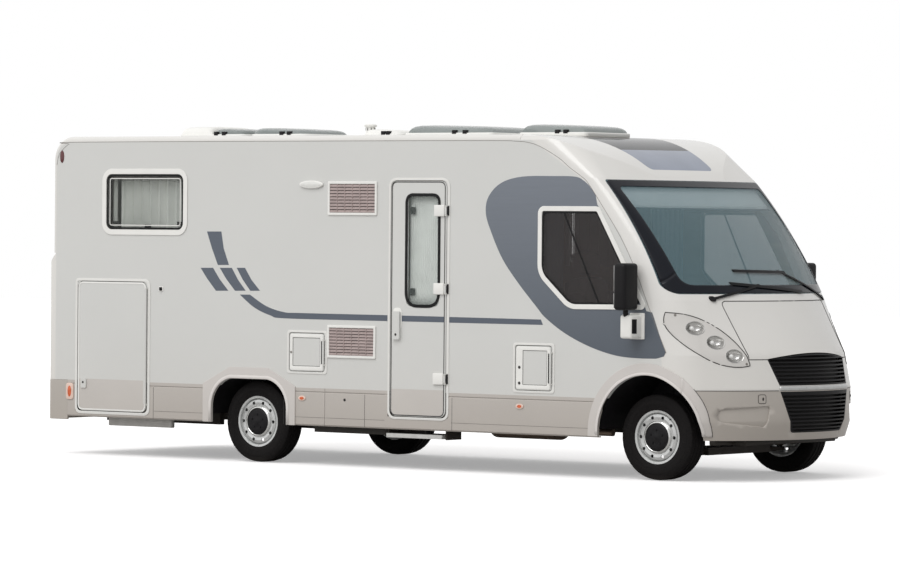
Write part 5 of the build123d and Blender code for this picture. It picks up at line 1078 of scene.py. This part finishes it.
RIGHT_WALL = side_map(-1)
hatch_frame("door_frame_outer", -1, margin_loop(DOOR, -0.026, 0.036, -0.026, 0.026,
                                                [0.080, 0.080, 0.085, 0.085]),
            margin_loop(DOOR, -0.005, 0.014, -0.006, 0.005, 0.06))
door_edge = margin_loop(DOOR, 0.004, -0.012, 0.004, -0.004, 0.056)
plate("door_edge", [door_edge, grown(door_edge, -0.008)], RIGHT_WALL, 0.0018, SEAM, "entry_door", 0.0007)
plate("door_low_field", [low_field(DOOR, 0.014, -0.022, 0.663, 0.046)], RIGHT_WALL, 0.0009, FIELD,
      "entry_door", 0.0)
door_pane = box_loop(0.299, 0.639, 1.345, 2.259, [0.12, 0.12, 0.07, 0.07], 10)
plate("door_window_seal", [grown(door_pane, 0.012), grown(door_pane, -0.014)], RIGHT_WALL, 0.004, RUBBER,
      "entry_door", 0.0015)
for z in (2.129, 1.491, 0.755):
    block("door_hinge_cover_%d" % int(z * 1000), (0.592, -WALL_Y, z - 0.047),
          (0.698, -WALL_Y - 0.019, z + 0.047), TRIM, "entry_door", 0.007)
    block("door_hinge_shell_%d" % int(z * 1000), (0.728, -WALL_Y, z - 0.040),
          (0.742, -WALL_Y - 0.016, z + 0.040), BLACK, BODY, 0.003)
for z in (2.128, 1.462):
    block("door_window_catch_%d" % int(z * 1000), (0.318, -1.1225, z - 0.030), (0.366, -1.108, z + 0.030),
          BLACK, "entry_door", 0.006)
    lathe("door_window_catch_knob_%d" % int(z * 1000), [(0.0, 0.009), (0.012, 0.008), (0.016, 0.004),
                                                        (0.016, -0.003)], (0.342, -1.108, z), (0, 1, 0),
          BLACK, "entry_door", 18)
blind_rail = block("door_blind_rail", (0.285, -1.112, 2.262), (0.652, -1.084, 2.290), TRIM, "entry_door",
                   0.004)
cloth("door_blind", pleats(0.300, 0.640, -1.098, 17, 0.0045, 6), 1.335, 2.262, BLIND, "entry_door",
      rows=8)
lock("door_lock", (0.009, 0.011), (0.0285, 0.026, 0.018), (0.213, -WALL_Y, 1.110), -1, SEAM, "entry_door")
plate("door_handle_bowl", [box_loop(0.168, 0.258, 1.150, 1.330, 0.04)], RIGHT_WALL, 0.003, TRIM,
      "entry_door", 0.0012)

for tag, box, inset in (("service", (1.424, 1.777, 0.690, 1.046), 0.070),
                        ("locker", (-0.924, -0.556, 0.785, 1.100), 0.034)):
    hatch_frame(tag + "_frame", -1, margin_loop(box, -0.026, 0.034, -0.024, 0.024, 0.03, 6),
                margin_loop(box, -0.005, 0.013, -0.005, 0.005, 0.022, 6))
    rim = margin_loop(box, 0.006, -0.010, 0.006, -0.006, 0.02, 6)
    panel = margin_loop(box, inset, -0.040, 0.040, -0.036, 0.006, 6)
    flap = tag + "_flap"
    plate(tag + "_rim", [rim, panel], RIGHT_WALL, 0.003, TRIM, flap, 0.0012)
    plate(tag + "_shadow", [grown(panel, 0.001), grown(panel, -0.004)], RIGHT_WALL, 0.0008, SEAM, flap)
for z in (0.872, 0.744):
    lock("service_lock_%d" % int(z * 1000), (0.009, 0.012), (0.005, 0.003, 0.0),
         (1.462, -WALL_Y - 0.002, z), -1, SEAM, "service_flap")
lock("locker_lock", (0.008, 0.010), (0.005, 0.003, 0.0), (-0.905, -WALL_Y - 0.002, 0.940), -1, GREY_TRIM_AND_GROOVE_SHADE,
     "locker_flap")


# Vents: brown-grey louvres in white frames, and the awning lamp
VENTS = (("upper", (-0.523, -0.006, 2.087, 2.367)), ("lower", (-0.518, -0.009, 0.903, 1.174)))
VENT_RIM = 0.021
SLATS, RIBS = 9, 5
for tag, (x0, x1, z0, z1) in VENTS:
    inner_x0, inner_x1, low, high = x0 + VENT_RIM, x1 - VENT_RIM, z0 + VENT_RIM, z1 - VENT_RIM
    opening = box_loop(inner_x0, inner_x1, low, high)
    rim = plate("vent_rim_" + tag, [box_loop(x0, x1, z0, z1, 0.008, 4), opening], RIGHT_WALL, 0.012, TRIM,
                edge=0.003)
    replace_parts(rim, "wall_vents")
    pitch = (high - low) / SLATS
    pts, faces = [], []
    for i in range(SLATS):
        z = low + pitch * i
        base = len(pts)
        profile = ((-WALL_Y - 0.0100, z + 0.0015), (-WALL_Y - 0.0110, z + 0.004),
                   (-WALL_Y - 0.004, z + pitch * 0.86), (-WALL_Y - 0.002, z + pitch * 0.84),
                   (-WALL_Y - 0.002, z + 0.002))
        pts += [(x, y, height) for x in (inner_x0, inner_x1) for y, height in profile]
        faces += lattice(2, 5, base=base)
        faces.append(tuple(base + k for k in range(5)))
        faces.append(tuple(base + 9 - k for k in range(5)))
    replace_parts(from_lists("vent_louvres_" + tag, pts, faces, LOUVRE, smooth=False), "wall_vents")
    plate("vent_back_" + tag, [opening], RIGHT_WALL, 0.0012, SEAM)
    for i in range(1, RIBS + 1):
        x = inner_x0 + (inner_x1 - inner_x0) * i / (RIBS + 1)
        block("vent_rib_%s_%d" % (tag, i), (x - 0.003, -WALL_Y, low), (x + 0.003, -WALL_Y - 0.0112, high),
              LOUVRE, radius=0.001)
plate("awning_lamp_lens", [oval(-0.698, 2.341, 0.108, 0.024, 40)], RIGHT_WALL, 0.010, LAMP_LENS, edge=0.006,
      start=0.0125)
lamp_shell = plate("awning_lamp_shell", [oval(-0.698, 2.3405, 0.125, 0.0335, 40)], RIGHT_WALL, 0.021, TRIM,
                   edge=0.008)
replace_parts(lamp_shell, "wall_vents")


# Skirts: joints, the second groove and a line along the top, both drawn as painted groove shade, and a lock
for side, hand in SIDES:
    wall = side_map(side)
    for i, x in enumerate((-2.420, -0.982, -0.122, 0.782)):
        plate("skirt_joint_%d_%s" % (i + 1, hand), [box_loop(x - 0.0016, x + 0.0016, 0.335, 0.606)], wall,
              FILM, SEAM)
    # The grooves and the line along the skirts' top are painted shade.
    for i, (x0, x1) in enumerate(((-2.420, -1.800), (-0.905, 0.085), (0.775, 2.180))):
        plate("skirt_groove_%d_%s" % (i + 1, hand), [box_loop(x0, x1, 0.3985, 0.4025)], wall, FILM,
              GREY_TRIM_AND_GROOVE_SHADE)
        plate("skirt_line_%d_%s" % (i + 1, hand), [box_loop(x0, x1, 0.609, 0.614)], wall, FILM, GREY_TRIM_AND_GROOVE_SHADE,
              start=-0.0056)
# The left skirt goes on where the entry door leaves a low stretch on the right
block("skirt_middle_left", (0.080, 1.1365, 0.428), (0.780, 1.1495, 0.646), SKIRT, radius=0.001)
# The line along its top is painted shade, as on the other skirts.
plate("skirt_middle_line", [box_loop(0.085, 0.775, 0.609, 0.614)], side_map(1), FILM, GREY_TRIM_AND_GROOVE_SHADE)
lock("skirt_lock", (0.009, 0.012), (0.004, 0.002, -0.002), (-0.334, -WALL_Y, 0.556), -1, SEAM)


# Windows: seals, catches, frames' inner lines, curtains
WINDOWS = (("bedroom_right", -1, (-2.966, -2.099, 1.951, 2.426)),
           ("bedroom_left", 1, (-2.966, -2.099, 1.951, 2.426)),
           ("lounge_left", 1, (0.300, 1.250, 1.700, 2.260)), ("washroom_left", 1,
                                                              (-1.050, -0.600, 1.800, 2.260)))
for tag, side, box in WINDOWS:
    x0, x1, z0, z1 = box
    wall = side_map(side)
    pane = margin_loop(box, 0.004, -0.004, 0.004, -0.004, 0.058, 6)
    plate("window_seal_" + tag, [pane, grown(pane, -0.016)], wall, 0.003, RUBBER, start=-0.002, edge=0.001)
    inner = grown(pane, -0.030)
    plate("window_inner_line_" + tag, [inner, grown(inner, -0.007)], wall, 0.001, TRIM, start=-0.0018)
    for i, (x, z) in enumerate(((x0 + 0.07, z0 + 0.055), (x1 - 0.07, z0 + 0.055),
                                ((x0 + x1) / 2, z0 + 0.030))):
        block("window_catch_%s_%d" % (tag, i + 1), (x - 0.028, side * 1.122, z - 0.016),
              (x + 0.028, side * 1.096, z + 0.016), BLACK, radius=0.006)
    rail = tube("curtain_rail_" + tag, [(x, side * 1.070, z1 - 0.012) for x in (x0 + 0.01, x1 - 0.01)],
                0.008, TRIM)
    folds = max(4, int((x1 - x0) / 0.108))
    wide = pleats(x0 + 0.11 * (x1 - x0), x1 - 0.015, side * 1.066, folds, 0.027)
    narrow = pleats(x0 + 0.008, x0 + 0.060, side * 1.070, 2, 0.016)
    for part, path in (("curtain_", wide), ("curtain_side_", narrow)):
        cloth(part + tag, path, z0 - 0.03, z1 - 0.020, CURTAIN, BODY, sway=0.003)
    block("window_blind_case_" + tag, (x0 - 0.01, side * 1.119, z1 - 0.040),
          (x1 + 0.01, side * 1.098, z1 + 0.030), GREY_TRIM_AND_GROOVE_SHADE, radius=0.006)
for side, hand in SIDES:
    pane = rounded(CAB_PANE, 0.055)
    plate("cab_window_seal_" + hand, [grown(pane, 0.003), grown(pane, -0.016)], side_map(side), 0.003,
          RUBBER, start=-0.002, edge=0.001)
    plate("cab_window_divider_" + hand, [[(1.884, 2.118), (1.900, 2.118), (2.245, 1.402), (2.229, 1.402)]],
          side_map(side), 0.0025, RUBBER, start=-0.0018)


# Roof: rooflights with smoked domes, and a chimney with its cap.
# Each rooflight has its middle ahead of the rear axle, length, half width, height and corner.
FITTINGS = (("rear", -1.132, 0.740, 0.330, 0.106, 0.060), ("middle", -0.395, 0.680, 0.330, 0.098, 0.150),
            ("vent", 0.640, 0.420, 0.210, 0.082, 0.100), ("lounge", 1.490, 0.930, 0.390, 0.110, 0.060),
            ("cab", 2.526, 0.700, 0.330, 0.112, 0.060))
BASE_Z, DOME_Z = 2.748, 2.782
DOME_STEPS = 44
DOME_FORM = ((1.0, 0.0), (0.985, 0.25), (0.955, 0.50), (0.90, 0.72), (0.80, 0.87), (0.6, 0.96), (0.3, 1.0),
             (0.02, 1.0))


def dome_piece(name, x0, x1, half, height, corner, mat, slope=0.0):
    """A low moulded dome: rounded in plan, flatter on top, its front lower by slope."""
    plan = resample(box_loop(x0, x1, -half, half, corner, 8), DOME_STEPS)
    cx = (x0 + x1) / 2
    pts = []
    for t, rise in DOME_FORM:
        for x, y in plan:
            px = cx + (x - cx) * t
            fall = slope * (px - x0) / (x1 - x0)
            pts.append((px, y * t, DOME_Z + max(0.002, (height - fall) * rise)))
    faces = lattice(len(DOME_FORM), DOME_STEPS)
    faces.append(tuple((len(DOME_FORM) - 1) * DOME_STEPS + k for k in range(DOME_STEPS)))
    from_lists(name, pts, faces, mat, BODY, weld=False)


for tag, ahead, long, half, height, corner in FITTINGS:
    x = REAR_AXLE_X + ahead
    x0, x1 = x - long / 2, x + long / 2
    base = plate("rooflight_base_" + tag, [box_loop(x0, x1, -half, half, corner, 8)], top_map(BASE_Z),
                 0.036, TRIM, edge=0.010)
    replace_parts(base, "roof_fittings")
    if tag == "rear":
        dome_piece("rooflight_case_rear", x0 + 0.01, x0 + 0.36, half - 0.015, 0.072, 0.05, TRIM)
        dome_piece("rooflight_dome_rear", x0 + 0.38, x1 - 0.01, half - 0.015, 0.060, 0.06, DOME, 0.02)
    else:
        dome_piece("rooflight_dome_" + tag, x0 + 0.012, x1 - 0.012, half - 0.014, height - 0.034, corner,
                   TRIM if tag == "vent" else DOME, 0.022)
    for k, place in enumerate((0.58, 0.70)):
        x = x0 + long * place
        block("rooflight_hinge_%s_%d" % (tag, k + 1), (x - 0.022, -half - 0.004, 2.774),
              (x + 0.022, -half + 0.03, 2.806), BLACK, radius=0.004)
CHIMNEY_X = REAR_AXLE_X + 0.375
lathe("chimney", [(0.064, 0.0), (0.060, 0.010), (0.046, 0.030), (0.040, 0.060), (0.040, 0.092),
                  (0.052, 0.098), (0.056, 0.110), (0.040, 0.119), (0.0, 0.1215)], (CHIMNEY_X, 0.0, 2.750),
      (0, 0, 1), TRIM, segments=36)
for k, (x, y) in enumerate(oval(CHIMNEY_X, 0.0, 0.038, 0.038, 8)):
    block("chimney_slot_%d" % (k + 1), (x - 0.004, y - 0.004, 2.815), (x + 0.004, y + 0.004, 2.838), SEAM,
          radius=0.001)


# Markers, and rings round the tail lamps
def marker(name, tag, side, shell, core):
    """A pale marker lamp with its amber core."""
    plate("%s_%s" % (name, tag), [shell], side_map(side), 0.0075, PALE_LENS, edge=0.0035)
    plate("%s_core_%s" % (name, tag), [core], side_map(side), 0.002, AMBER, start=0.0068, edge=0.0008)


TAIL_RING = [(0.050, 0.001), (0.053, 0.0105), (0.058, 0.0115), (0.062, 0.008), (0.063, -0.004)]
for side, hand in SIDES:
    plate("top_marker_" + hand, [oval(-3.482, 2.578, 0.024, 0.055, 32)], side_map(side, WALL_Y - 0.006),
          0.011, DARK_RED, edge=0.005)
    for i, z in enumerate((0.790, 0.925, 1.060)):
        lathe("tail_ring_%s_%d" % (hand, i + 1), TAIL_RING, (-3.620, side * 1.035, z), (-1, 0, 0), CHROME,
              segments=36)
for side, hand in SIDES:
    marker("rear_marker", hand, side, box_loop(-3.414, -3.328, 0.474, 0.618, 0.030),
           oval(-3.372, 0.546, 0.021, 0.048, 28))
for tag, x, z in (("a_", -0.786, 0.558), ("b_", 1.467, 0.556)):
    for side, hand in SIDES:
        marker("side_marker", tag + hand, side, oval(x, z, 0.040, 0.022, 28), oval(x, z, 0.022, 0.013, 24))


# Mirrors: rounded black heads with their glass, on white brackets with a black pad
def mirror_part(name, side, low, high, mat, radius, segments=3):
    return block("mirror_" + name, (low[0], side * low[1], low[2]), (high[0], side * high[1], high[2]), mat,
                 radius=radius, segments=segments)


for side, hand in SIDES:
    head = mirror_part("head_" + hand, side, (2.5475, 1.200, 1.352), (2.662, 1.398, 1.724), BLACK, 0.030, 5)
    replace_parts(head, "mirrors")
    mirror_part("glass_" + hand, side, (2.5455, 1.216, 1.500), (2.550, 1.382, 1.706), CHROME, 0.002)
    mirror_part("glass_wide_" + hand, side, (2.5455, 1.216, 1.370), (2.550, 1.382, 1.486), CHROME, 0.002)
    arm = mirror_part("bracket_" + hand, side, (2.556, 1.149, 1.128), (2.668, 1.312, 1.316), TRIM, 0.020, 4)
    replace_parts(arm, "mirrors")
    mirror_part("foot_" + hand, side, (2.550, 1.149, 1.121), (2.690, 1.166, 1.330), TRIM, 0.007)
    mirror_part("pad_" + hand, side, (2.665, 1.236, 1.168), (2.6705, 1.300, 1.282), BLACK, 0.002)
    tube("mirror_neck_" + hand, [(2.605, side * y, z) for y, z in ((1.290, 1.300), (1.300, 1.330),
                                                                   (1.300, 1.380))], 0.021, BLACK, sides=14)
    for z in (1.165, 1.225, 1.285):
        tube("mirror_rib_%s_%d" % (hand, int(z * 1000)), [(2.5565, side * y, z) for y in (1.170, 1.3000)],
             0.003, GREY_TRIM_AND_GROOVE_SHADE, sides=6)


# Cab: seats as cushions, and curtains
SEAT_LEAN = ("Y", -7)
for side, hand in SIDES:
    y = side * 0.470
    cushion("seat_base_" + hand, (1.700, y - 0.235, 0.925), (2.250, y + 0.235, 1.060), SEAT)
    cushion("seat_back_" + hand, (1.600, y - 0.225, 1.010), (1.745, y + 0.225, 1.600), SEAT, SEAT_LEAN)
    cushion("seat_head_" + hand, (1.580, y - 0.140, 1.620), (1.680, y + 0.140, 1.805), SEAT, SEAT_LEAN)
    cushion("seat_wing_in_" + hand, (1.620, y - 0.245, 1.060), (1.800, y - 0.185, 1.480), SEAT_SIDE,
            SEAT_LEAN)
    cushion("seat_wing_out_" + hand, (1.620, y + 0.185, 1.060), (1.800, y + 0.245, 1.480), SEAT_SIDE,
            SEAT_LEAN)
    block("seat_plinth_" + hand, (1.760, y - 0.190, 0.646), (2.160, y + 0.190, 0.930), DASH, radius=0.02)
    block("seat_shell_" + hand, (1.592, y - 0.215, 0.960), (1.640, y + 0.215, 1.560), DASH, radius=0.02,
          turn=SEAT_LEAN)
    rail = tube("cab_curtain_rail_" + hand, [(1.520, side * 1.070, 2.300), (1.520, side * 0.300, 2.300)],
                0.009, TRIM)
    cloth("cab_curtain_" + hand, pleats(side * 1.060, side * 0.640, 1.520, 6, 0.024, along="y"), 0.700,
          2.290, CAB_CURTAIN, BODY, sway=0.004)
